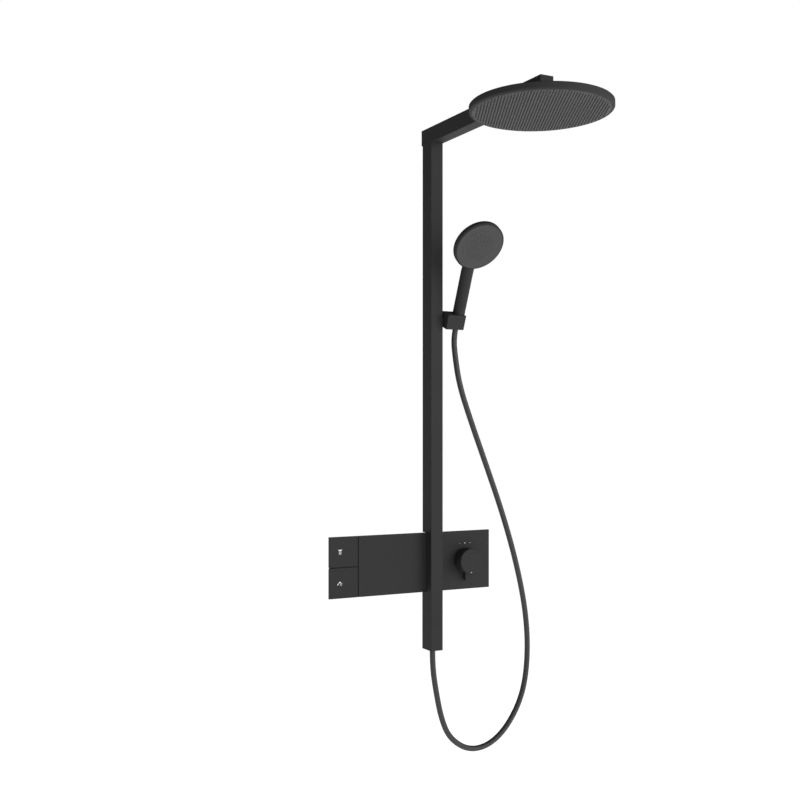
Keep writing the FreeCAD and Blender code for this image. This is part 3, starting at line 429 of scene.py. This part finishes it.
WATER_PLASTIC = white_plastic()
RUBBER = seal_rubber()
print("made", WATER_PLASTIC.name, "and", RUBBER.name)

# %% [markdown]
# ### Printed white
#
# The small symbols and marks are printed in white ink. The ink is thin, so the black grain below still
# lends it a slight unevenness.


# %% Printing ink
def printed_ink():
    material, shader, place = start_finish("white_ink")
    speckle = noise(place, 3200.0, 2.0)
    cover = noise(place, 700.0, 2.0)
    colour = blended(speckle * 0.5 + cover * 0.5, (0.62, 0.62, 0.61), (0.90, 0.90, 0.89))
    end_finish(shader, colour, 0.45 + speckle * 0.15, speckle, 0.00002)
    return material


INK = printed_ink()
print("made", INK.name)

# %% [markdown]
# ### Which part wears what
#
# The engineered parts say what they are made of by the name of a slot, so one table from slot to finish
# dresses them all. Two parts of the hand shower wear a finish of their own.

# %% Give every engineered part its finish
FINISHES = {
    "matt_black_metal": POWDER_COAT,
    "matt_black_plastic": BODY_PLASTIC,
    "button_plastic": BUTTON_PLASTIC,
    "nozzle_silicone": SPRAY_SHEET,
    "hose_plastic": HOSE_FITTINGS,
    "zinc_steel": ZINC,
    "brass": BRASS,
    "white_plastic": WATER_PLASTIC,
    "seal_rubber": RUBBER,
}
OWN_FINISHES = {"handset_nozzle_disc": SPRAY_FACE, "handset_face": SPRAY_FACE}

SLOT_OF = {part["node"]: part["material_slot"] for part in frame["record"]["subparts"]}
for node_name, part in frame["nodes"].items():
    for held in part.material_slots:
        held.material = OWN_FINISHES.get(node_name) or FINISHES[SLOT_OF[node_name]]
print("finishes:", {slot: list(SLOT_OF.values()).count(slot) for slot in FINISHES})

# %% [markdown]
# ## Geometry Nodes helpers
#
# Rows of nozzles, printed marks and the winding of the hose all repeat by a rule, which is what Geometry
# Nodes are for. Each tree is built here with named inputs for its sizes. When a tree has done its work
# its result becomes a plain mesh, because a finished piece has to stand on its own.


# %% Build, run and settle a tree
def new_tree(name, sizes):
    """An empty tree with an output shape and one named input for each size."""
    tree = bpy.data.node_groups.new(name, "GeometryNodeTree")
    tree.interface.new_socket("Shape", in_out="OUTPUT", socket_type="NodeSocketGeometry")
    for label, kind in sizes.items():
        tree.interface.new_socket(label, in_out="INPUT", socket_type="NodeSocket" + kind)
    given = tree.nodes.new("NodeGroupInput")
    return tree, {label: Wire(tree, given.outputs[label]) for label in sizes}


def close_tree(shape, material):
    """End a tree with real geometry in one material."""
    real = shape.node("GeometryNodeRealizeInstances", inputs={"Geometry": shape})
    done = real.node("GeometryNodeSetMaterial", inputs={"Geometry": real, "Material": material})
    output = done.tree.nodes.new("NodeGroupOutput")
    done.feed(output.inputs["Shape"])


def new_object(name, mesh=None):
    """An object in the scene, with a mesh or an empty one."""
    made = bpy.data.objects.new(name, mesh or bpy.data.meshes.new(name))
    bpy.context.collection.objects.link(made)
    return made


def grown(name, tree, values, base=None, smooth_below=40.0):
    """A new piece made by a tree, settled into a plain mesh."""
    piece = new_object(name, base)
    modifier = piece.modifiers.new("grow", "NODES")
    modifier.node_group = tree
    for item in tree.interface.items_tree:
        if item.in_out == "INPUT" and item.name in values:
            modifier[item.identifier] = values[item.name]
    bpy.context.view_layer.update()
    settled = bpy.data.meshes.new_from_object(
        piece.evaluated_get(bpy.context.evaluated_depsgraph_get())
    )
    piece.modifiers.clear()
    piece.data = settled
    finish_mesh(settled, smooth_below)
    return piece


def finish_mesh(mesh, smooth_below=40.0):
    """Turn faces outwards and shade softly except at real edges."""
    shape = bmesh.new()
    shape.from_mesh(mesh)
    bmesh.ops.recalc_face_normals(shape, faces=shape.faces)
    shape.to_mesh(mesh)
    shape.free()
    mesh.shade_smooth()
    mesh.set_sharp_from_angle(angle=math.radians(smooth_below))


def turned(name, profile, sides):
    """A closed turned shape from (radius, height) pairs that start and end on the axis."""
    shape = bmesh.new()
    rings = []
    for radius, height in profile:
        if radius == 0.0:
            rings.append([shape.verts.new((0.0, 0.0, height))])
            continue
        turns = [math.tau * i / sides for i in range(sides)]
        rings.append(
            [shape.verts.new((radius * math.cos(t), radius * math.sin(t), height)) for t in turns]
        )
    for lower, upper in zip(rings, rings[1:]):
        for i in range(sides):
            j = (i + 1) % sides
            if len(lower) == 1:
                shape.faces.new((lower[0], upper[i], upper[j]))
            elif len(upper) == 1:
                shape.faces.new((lower[i], upper[0], lower[j]))
            else:
                shape.faces.new((lower[i], upper[i], upper[j], lower[j]))
    mesh = bpy.data.meshes.new(name)
    shape.to_mesh(mesh)
    shape.free()
    finish_mesh(mesh)
    return new_object(name, mesh)


def triangles(piece):
    """How many triangles a piece has."""
    piece.data.calc_loop_triangles()
    return len(piece.data.loop_triangles)


print("tree helpers ready:", new_tree.__name__, grown.__name__, turned.__name__)

# %% [markdown]
# ## The hose
#
# The hose has to follow its line exactly and carry a fine winding. A tree
# turns the points that were read from the line into a curve, gives it a round section, then lifts the
# skin in a helix: the lift depends on how far along the hose a point is and how far round. The last two
# centimetres below the hand shower are a piece of their own, because on the real shower they are drawn
# out when the hand shower is lifted, while the rest only follows the holder.


# %% A tree for a wound hose
def hose_tree():
    tree, size = new_tree(
        "wound_hose",
        {"Line": "Geometry", "Radius": "Float", "Winding": "Float", "Depth": "Float",
         "Step": "Float", "Sides": "Int", "Skin": "Material"},
    )  # fmt: skip
    start = size["Line"]
    curve = start.node("GeometryNodeMeshToCurve", inputs={"Mesh": start})
    curve = curve.node(
        "GeometryNodeResampleCurve",
        {"mode": "LENGTH"},
        {"Curve": curve, "Length": size["Step"]},
    )
    far = curve.node("GeometryNodeSplineParameter", output="Length")
    curve = curve.node(
        "GeometryNodeStoreNamedAttribute",
        {"data_type": "FLOAT", "domain": "POINT"},
        {"Geometry": curve, "Name": "far", "Value": far},
    )
    ring = curve.node(
        "GeometryNodeCurvePrimitiveCircle",
        inputs={"Resolution": size["Sides"], "Radius": size["Radius"]},
    )
    round_ = ring.node("GeometryNodeSplineParameter", output="Factor")
    ring = ring.node(
        "GeometryNodeStoreNamedAttribute",
        {"data_type": "FLOAT", "domain": "POINT"},
        {"Geometry": ring, "Name": "round", "Value": round_},
    )
    skin = curve.node(
        "GeometryNodeCurveToMesh",
        inputs={"Curve": curve, "Profile Curve": ring, "Fill Caps": True},
    )
    named = {
        name: skin.node(
            "GeometryNodeInputNamedAttribute", {"data_type": "FLOAT"}, {"Name": name}
        )
        for name in ("far", "round")
    }
    turn = (named["far"] / size["Winding"] + named["round"]) * math.tau
    crest = 0.5 + 0.5 * turn.maths("COSINE", turn)
    # The crest also feeds the hose skin's colour, which paints shade into the grooves between turns.
    skin = skin.node(
        "GeometryNodeStoreNamedAttribute",
        {"data_type": "FLOAT", "domain": "POINT"},
        {"Geometry": skin, "Name": "crest", "Value": crest},
    )
    normal = skin.node("GeometryNodeInputNormal")
    lift = normal.node(
        "ShaderNodeVectorMath",
        {"operation": "SCALE"},
        {0: normal, "Scale": (crest - 1.0) * size["Depth"]},
    )
    skin = skin.node("GeometryNodeSetPosition", inputs={"Geometry": skin, "Offset": lift})
    close_tree(skin, size["Skin"])
    return tree


HOSE_TREE = hose_tree()
print("hose tree:", len(HOSE_TREE.nodes), "nodes")


# %% Grow the hose in its two pieces
HOSE_FREE_END = 0.022
END_OVERLAP = 0.001
HOSE_SIZES = {"Radius": HOSE_RADIUS, "Winding": 0.0036, "Depth": 0.00022, "Step": 0.0009,
              "Sides": 18, "Skin": HOSE_SKIN}  # fmt: skip


def chain(name, points):
    """A mesh of points joined one after another."""
    mesh = bpy.data.meshes.new(name)
    mesh.from_pydata(points, [(i, i + 1) for i in range(len(points) - 1)], [])
    return mesh


def hose_piece(name, points):
    """A length of wound hose along the points."""
    return grown(name, HOSE_TREE, HOSE_SIZES, chain(name, points), 60.0)


hanging = [p for p, run in zip(hose_line, hose_run) if run <= hose_run[-1] - HOSE_FREE_END]
lifting = hose_line[len(hanging) - 1 :]
lifting.append(lifting[-1] + (lifting[-1] - lifting[-2]).normalized() * END_OVERLAP)
hose = hose_piece("hanging_hose", hanging)
hose_top = hose_piece("hose_top", lifting)
print("hose", triangles(hose), "and", triangles(hose_top), "triangles")
print("hanging length", round(along(hanging)[-1], 4), "m")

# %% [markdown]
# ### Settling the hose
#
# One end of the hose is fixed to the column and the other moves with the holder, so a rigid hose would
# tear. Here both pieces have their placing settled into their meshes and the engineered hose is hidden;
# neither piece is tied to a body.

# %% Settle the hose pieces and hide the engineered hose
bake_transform(hose)
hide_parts("shower_hose")
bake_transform(hose_top)

# %% [markdown]
# ## Spray nozzles
#
# The disc rains through about 1,400 slim nozzles in close triangular order, with the rows turned a little
# under 28 degrees from the arm. One nozzle is a small turned shape of a few faces: a foot, a tapering
# stem and a sunk bore. A tree lays out the rows, shifts every second row by half a step, keeps what falls
# inside the round field and puts a nozzle on each point. The hand shower uses the same tree with finer
# sizes.


# %% A tree for a field of nozzles
def nozzle_tree():
    tree, size = new_tree(
        "nozzle_field",
        {"Nozzle": "Object", "Pitch": "Float", "Row Step": "Float", "Field Radius": "Float",
         "Clear Radius": "Float", "Rows": "Int", "Finish": "Material"},
    )  # fmt: skip
    pitch, row_step = size["Pitch"], size["Row Step"]
    last = size["Rows"] - 1.0
    grid = pitch.node(
        "GeometryNodeMeshGrid",
        inputs={"Size X": last * row_step, "Size Y": last * pitch,
                "Vertices X": size["Rows"], "Vertices Y": size["Rows"]},
    )  # fmt: skip
    place = grid.node("GeometryNodeInputPosition")
    split = place.node("ShaderNodeSeparateXYZ", inputs={0: place}, output="X")
    row = split.maths("ROUND", split / row_step)
    odd = row.maths("FLOORED_MODULO", row, 2.0)
    shift = odd.node("ShaderNodeCombineXYZ", inputs={"Y": odd * pitch * 0.5})
    grid = grid.node("GeometryNodeSetPosition", inputs={"Geometry": grid, "Offset": shift})
    place = grid.node("GeometryNodeInputPosition")
    away = place.node(
        "ShaderNodeVectorMath", {"operation": "LENGTH"}, {0: place}, output="Value"
    )
    outside = away.maths("GREATER_THAN", away, size["Field Radius"])
    inside = away.maths("LESS_THAN", away, size["Clear Radius"])
    kept = grid.node(
        "GeometryNodeDeleteGeometry",
        {"domain": "POINT", "mode": "ALL"},
        {"Geometry": grid, "Selection": outside + inside},
    )
    nozzle = kept.node(
        "GeometryNodeObjectInfo", inputs={"Object": size["Nozzle"]}, output="Geometry"
    )
    field = kept.node("GeometryNodeInstanceOnPoints", inputs={"Points": kept, "Instance": nozzle})
    close_tree(field, size["Finish"])
    return tree


NOZZLE_TREE = nozzle_tree()
print("nozzle tree:", len(NOZZLE_TREE.nodes), "nodes")


# %% [markdown]
# ### Where a field sits
#
# Neither spray face looks straight down: the disc rests a little over one degree up at its front edge,
# and the hand shower looks half down and half out into the room. So a field is drawn flat first. One
# helper is told which way a face looks, finds how far out it lies on its part and works out the placing,
# and the other makes the field and sets it there.


# %% Place a field of nozzles
ROW_RATIO = math.sqrt(0.75)
SPARE_ROWS = 3


def nozzle_field(name, nozzle_shape, pitch, radius, clear, placing, body):
    """A field of nozzles with its place in its mesh, riding on a body."""
    row_step = pitch * ROW_RATIO
    rows = 2 * math.ceil(radius / row_step) + SPARE_ROWS
    field = grown(
        name,
        NOZZLE_TREE,
        {"Nozzle": nozzle_shape, "Pitch": pitch, "Row Step": row_step,
         "Field Radius": radius, "Clear Radius": clear, "Rows": rows,
         "Finish": NOZZLE_SKIN},
    )  # fmt: skip
    field.data.transform(placing)
    bpy.data.objects.remove(nozzle_shape)
    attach(field, body)
    return field


def on_face(node_name, tip_degrees):
    """The placing of a flat field on a part's spray face, tipped forward from straight down."""
    tip = math.radians(tip_degrees)
    normal = Vector((0.0, -math.sin(tip), -math.cos(tip)))
    across = Vector((1.0, 0.0, 0.0))
    low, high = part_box(node_name)
    middle = (Vector(low) + Vector(high)) / 2
    reach = max(vertex.co.dot(normal) for vertex in frame["nodes"][node_name].data.vertices)
    turning = Matrix((across, normal.cross(across), normal)).transposed().to_4x4()
    return Matrix.Translation(middle + normal * (reach - middle.dot(normal))) @ turning


print("placing helpers ready:", nozzle_field.__name__, on_face.__name__)

# %% Put the nozzles on the disc
DISC_TIP = 1.2
ROW_TURN = math.radians(27.8)
RAIN_PITCH = 0.00656
RAIN_FIELD = 0.1305
NOZZLE_SIDES = 8

rain_nozzle = turned(
    "rain_nozzle",
    [(0.0, -0.0003), (0.0014, -0.0003), (0.0013, 0.0005), (0.0010, 0.0013), (0.0004, 0.0012),
     (0.0, 0.0006)],
    NOZZLE_SIDES,
)  # fmt: skip
rain_nozzles = nozzle_field(
    "rain_nozzles", rain_nozzle, RAIN_PITCH, RAIN_FIELD, 0.0,
    on_face("spray_plate", DISC_TIP) @ Matrix.Rotation(ROW_TURN, 4, "Z"), "overhead_head",
)  # fmt: skip
print("rain nozzles", triangles(rain_nozzles), "triangles")

# %% [markdown]
# ### The hand shower's nozzles
#
# The hand shower's jets are short, wide-footed and barely stand proud, and a small round patch in the
# middle of the face stays free of them.

# %% Put fine nozzles on the hand shower
HAND_TIP = 49.8
HAND_PITCH = 0.0062
HAND_FIELD = 0.033
HAND_CLEAR = 0.003

fine_nozzle = turned(
    "fine_nozzle",
    [(0.0, -0.0002), (0.0011, -0.0002), (0.0010, 0.0001), (0.0007, 0.0003), (0.0006, 0.0006),
     (0.0003, 0.0006), (0.0002, 0.0002), (0.0, 0.0002)],
    NOZZLE_SIDES,
)  # fmt: skip
hand_nozzles = nozzle_field(
    "hand_nozzles", fine_nozzle, HAND_PITCH, HAND_FIELD, HAND_CLEAR,
    on_face("handset_nozzle_disc", HAND_TIP), "hand_shower",
)  # fmt: skip
print("hand nozzles", triangles(hand_nozzles), "triangles")

# %% [markdown]
# ## Seals in the grooves round the buttons
#
# The two buttons stand in the panel with a narrow groove round them. With nothing behind it, light from
# the wall side would shine through, so rubber strips close the grooves. A seal runs along each groove
# behind the panel, clear of the buttons so that they can travel. Further back a wider, thin base reaches
# behind the buttons, so that no slanting look gets past. The level strips stop short of the left edge,
# where they would show.


# %% Seal the grooves round the buttons
UPRIGHT_DEPTH = 0.0032
LEVEL_DEPTH = 0.0008
BASE_DEPTH = 0.004
BUTTON_PLAY = 0.0004
PANEL_INSET = 0.0005
SEAL_START = 0.0014
BASE_START = 0.0035
BASE_LAP = 0.002
BASE_HALF_HEIGHT = 0.003


def strip(name, low, high):
    """A rubber strip between two corners, fixed to the panel."""
    shape = bmesh.new()
    bmesh.ops.create_cube(shape, size=1.0)
    size = Vector(high) - Vector(low)
    middle = (Vector(high) + Vector(low)) / 2
    bmesh.ops.transform(
        shape,
        matrix=Matrix.Translation(middle) @ Matrix.Diagonal((*size, 1.0)),
        verts=shape.verts,
    )
    mesh = bpy.data.meshes.new(name)
    shape.to_mesh(mesh)
    shape.free()
    finish_mesh(mesh, 30.0)
    mesh.materials.append(RUBBER)
    piece = new_object(name, mesh)
    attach(piece, "root")


button_low, button_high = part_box("overhead_button")
plate_low, plate_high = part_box("front_plate")
plate_back = plate_high[1]
strip(
    "upright_groove_seal",
    (button_high[0] + BUTTON_PLAY, plate_back, plate_low[2] + PANEL_INSET),
    (plate_low[0], plate_back + UPRIGHT_DEPTH, plate_high[2] - PANEL_INSET),
)
strip(
    "level_groove_seal",
    (button_low[0] + SEAL_START, plate_back, -button_low[2] + BUTTON_PLAY),
    (button_high[0] + BUTTON_PLAY, plate_back + LEVEL_DEPTH, button_low[2] - BUTTON_PLAY),
)
strip(
    "upright_groove_base",
    (button_high[0] - BASE_LAP, plate_back + UPRIGHT_DEPTH, plate_low[2] + PANEL_INSET),
    (plate_low[0], plate_back + BASE_DEPTH, plate_high[2] - PANEL_INSET),
)
strip(
    "level_groove_base",
    (button_low[0] + BASE_START, plate_back + UPRIGHT_DEPTH, -BASE_HALF_HEIGHT),
    (button_high[0] - BASE_LAP, plate_back + BASE_DEPTH, BASE_HALF_HEIGHT),
)
print("grooves sealed behind y", round(plate_back, 4))

# %% [markdown]
# ## Printed symbols and marks
#
# The buttons say what they open with small white symbols: the rain disc on the upper one and the hand
# shower on the lower one. Above the knob three small marks show the temperature, and a dot marks the foot
# of the knob's lever. Each is a flat outline, drawn in millimetres about its own middle, given the
# thickness of a coat of ink and set on the face it belongs to.


# %% Make printed shapes
INK_THICKNESS = 0.00008
MILLIMETRE = 0.001


def printed(name, outlines, centre, body):
    """Flat shapes in the plane of the panel, as thick as ink, riding on a body."""
    shape = bmesh.new()
    for outline in outlines:
        corners = [
            shape.verts.new(
                (centre[0] + x * MILLIMETRE, centre[1], centre[2] + z * MILLIMETRE)
            )
            for x, z in outline
        ]
        face = shape.faces.new(corners)
        lifted = bmesh.ops.extrude_face_region(shape, geom=[face])["geom"]
        bmesh.ops.translate(
            shape,
            verts=[item for item in lifted if isinstance(item, bmesh.types.BMVert)],
            vec=(0.0, -INK_THICKNESS, 0.0),
        )
    mesh = bpy.data.meshes.new(name)
    shape.to_mesh(mesh)
    shape.free()
    finish_mesh(mesh, 30.0)
    mesh.materials.append(INK)
    piece = new_object(name, mesh)
    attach(piece, body)


def bar(x0, z0, x1, z1, width):
    """A straight bar between two points."""
    run = Vector((x1 - x0, z1 - z0)).normalized() * width / 2
    side = Vector((-run.y, run.x))
    return [(x0 - side.x, z0 - side.y), (x1 - side.x, z1 - side.y),
            (x1 + side.x, z1 + side.y), (x0 + side.x, z0 + side.y)]  # fmt: skip


def dot(radius, sides=14):
    """A round spot about the middle."""
    turns = [math.tau * i / sides for i in range(sides)]
    return [(radius * math.cos(t), radius * math.sin(t)) for t in turns]


print("ink is", round(INK_THICKNESS / MILLIMETRE, 3), "mm thick")


# %% Print the two symbols
SYMBOL_X = -0.2286
RAIN_SYMBOL_Z = 0.0335
HAND_SYMBOL_Z = -0.0340

button_face = button_low[1]
rain_symbol = [[(-2.6, 3.0), (2.6, 3.0), (4.7, 4.6), (4.7, 5.4), (-4.7, 5.4), (-4.7, 4.6)]]
for column in range(-1, 2):
    for row_z in (2.0, -0.5, -3.0):
        rain_symbol.append(bar(column * 2.1, row_z, column * 2.1, row_z - 1.6, 1.3))
printed("rain_symbol", rain_symbol, (SYMBOL_X, button_face, RAIN_SYMBOL_Z), "overhead_push")

hand_symbol = [
    bar(-6.4, -3.6, -1.2, 2.2, 1.5),
    [(-1.9, 3.0), (-0.6, 4.2), (3.4, 0.5), (2.6, -0.6), (1.6, -0.5)],
]
for step_x, step_z in ((2.6, -1.6), (4.8, -0.9), (0.8, -3.2), (3.0, -3.8)):
    hand_symbol.append(bar(step_x, step_z, step_x - 0.8, step_z - 1.4, 1.2))
printed("hand_symbol", hand_symbol, (SYMBOL_X, button_face, HAND_SYMBOL_Z), "handshower_push")
print("symbols on the buttons at y", round(button_face, 4))


# %% [markdown]
# ### Marks over the knob
#
# The three temperature marks stand on one line at equal steps, and the middle one is the larger. That is
# a rule, so a tree makes the row: a line of points with a mark on each, whose size follows from its
# number.


# %% A tree for a row of marks
SMALL_MARK = 0.75
MIDDLE_MARK_MORE = 0.6


def mark_tree():
    tree, size = new_tree(
        "row_of_marks",
        {"Mark": "Object", "Spacing": "Float", "Count": "Int", "Finish": "Material"},
    )
    spacing = size["Spacing"]
    row = spacing.node(
        "GeometryNodeMeshLine",
        inputs={"Count": size["Count"],
                "Offset": spacing.node("ShaderNodeCombineXYZ", inputs={"X": spacing})},
    )  # fmt: skip
    mark = row.node("GeometryNodeObjectInfo", inputs={"Object": size["Mark"]}, output="Geometry")
    index = row.node("GeometryNodeInputIndex")
    larger = SMALL_MARK + MIDDLE_MARK_MORE * index.maths("COMPARE", index, 1.0)
    marks = row.node(
        "GeometryNodeInstanceOnPoints",
        inputs={"Points": row, "Instance": mark, "Scale": larger},
    )
    close_tree(marks, size["Finish"])
    return tree


MARK_TREE = mark_tree()
print("mark tree:", len(MARK_TREE.nodes), "nodes")

# %% Set the marks over the knob and the dot on it
MARK_SPACING = 0.0137
MARK_RADIUS = 0.0009
MARKS_RIGHT_OF_AXIS = 0.0018
MARKS_HEIGHT = 0.0384
KNOB_DOT_HEIGHT = -0.0258

knob_low, knob_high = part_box("temperature_knob")
knob_x = (knob_low[0] + knob_high[0]) / 2
panel_face = plate_low[1]
mark_shape = turned(
    "mark_shape",
    [(0.0, 0.0), (MARK_RADIUS, 0.0), (MARK_RADIUS, INK_THICKNESS), (0.0, INK_THICKNESS)],
    16,
)
marks = grown(
    "temperature_marks",
    MARK_TREE,
    {"Mark": mark_shape, "Spacing": MARK_SPACING, "Count": 3, "Finish": INK},
)
marks.data.transform(
    Matrix.Translation((knob_x + MARKS_RIGHT_OF_AXIS - MARK_SPACING, panel_face, MARKS_HEIGHT))
    @ Matrix.Rotation(math.radians(90.0), 4, "X")
)
bpy.data.objects.remove(mark_shape)
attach(marks, "root")
printed("knob_dot", [dot(0.95)], (knob_x, knob_low[1], KNOB_DOT_HEIGHT), "knob")
print("marks at height", MARKS_HEIGHT, "and knob axis x", round(knob_x, 4))

# %% [markdown]
# ## The floor
#
# The shower hangs on a wall in use and stands over nothing here, so the floor lies well below it and only
# has to fade into the white around it. It gives off a little light of its own, more of it further out, so
# that it is white to the eye everywhere but doesn't wash out the undersides above it.


# %% Lay the floor
FLOOR_HEIGHT = -1.15
FLOOR_HALF = 30.0
GLOW_NEAR, GLOW_FAR = 0.6, 1.8


def pale_floor():
    material, shader, place = start_finish("pale_floor", specular=0.2)
    clouds = noise(place, 1.3, 3.0)
    grain = noise(place, 220.0, 2.0)
    colour = blended(clouds * 0.5 + grain * 0.5, (0.90, 0.90, 0.90), (0.93, 0.93, 0.93))
    end_finish(shader, colour, 0.7 + grain * 0.1, grain, 0.0001)
    away = place.node("ShaderNodeVectorMath", {"operation": "LENGTH"}, {0: place}, output="Value")
    reach = away.node(
        "ShaderNodeMapRange", inputs={"Value": away, "From Min": GLOW_NEAR, "From Max": GLOW_FAR}
    )
    blended(reach, (0.45, 0.45, 0.45), (0.90, 0.90, 0.90)).feed(shader.inputs["Emission Color"])
    shader.inputs["Emission Strength"].default_value = 1.0
    return material


floor_mesh = bpy.data.meshes.new("floor")
corners = ((-1, -1), (1, -1), (1, 1), (-1, 1))
floor_mesh.from_pydata(
    [(x * FLOOR_HALF, y * FLOOR_HALF, FLOOR_HEIGHT) for x, y in corners],
    [],
    [(0, 1, 2, 3)],
)
floor_mesh.materials.append(pale_floor())
floor = new_object("floor", floor_mesh)
print("floor at", FLOOR_HEIGHT, "m")

# %% [markdown]
# ## Light and background
#
# A black product on a white ground shows by how brightly each of its faces answers the light. A large
# soft lamp in front and to the right fills the faces that look at the viewer and leaves the left faces
# darker. A weaker one nearly straight ahead keeps the left faces from closing up, and a faint one at the
# right lifts the hose and the hand shower. The surroundings are white to the eye but much less bright to
# the object, so that the black stays black.


# %% Hang the lights
def soft_light(name, place, target, size, power):
    """A large square lamp at a place, turned to a target."""
    lamp = bpy.data.lights.new(name, "AREA")
    lamp.shape = "SQUARE"
    lamp.size = size
    lamp.energy = power
    held = bpy.data.objects.new(name, lamp)
    held.location = place
    held.rotation_euler = (Vector(target) - Vector(place)).to_track_quat("-Z", "Y").to_euler()
    bpy.context.collection.objects.link(held)


soft_light("front_right_softbox", (2.2, -3.0, 1.2), (0.0, 0.0, 0.3), 2.4, 68.0)
soft_light("front_softbox", (-0.6, -3.4, 1.2), (0.0, 0.0, 0.2), 2.0, 30.0)
soft_light("right_softbox", (3.6, -0.8, 0.8), (0.0, 0.0, 0.2), 2.0, 14.0)
print("lamps:", [held.name for held in bpy.data.lights])

# %% Set the surroundings
AMBIENT = 0.12

world = bpy.data.worlds.new("white_studio")
world.use_nodes = True
bpy.context.scene.world = world
background = world.node_tree.nodes["Background"]
seen = Wire(world.node_tree).node("ShaderNodeLightPath", output="Is Camera Ray")
(AMBIENT + seen * (1.0 - AMBIENT)).feed(background.inputs["Strength"])
background.inputs["Color"].default_value = (1.0, 1.0, 1.0, 1.0)
bpy.context.scene.view_settings.view_transform = "Standard"
print("surroundings at", AMBIENT)

# %% [markdown]
# ## The end
#
# The dressed model is meant to stay as large as the engineered one.

# %% Finish
import json
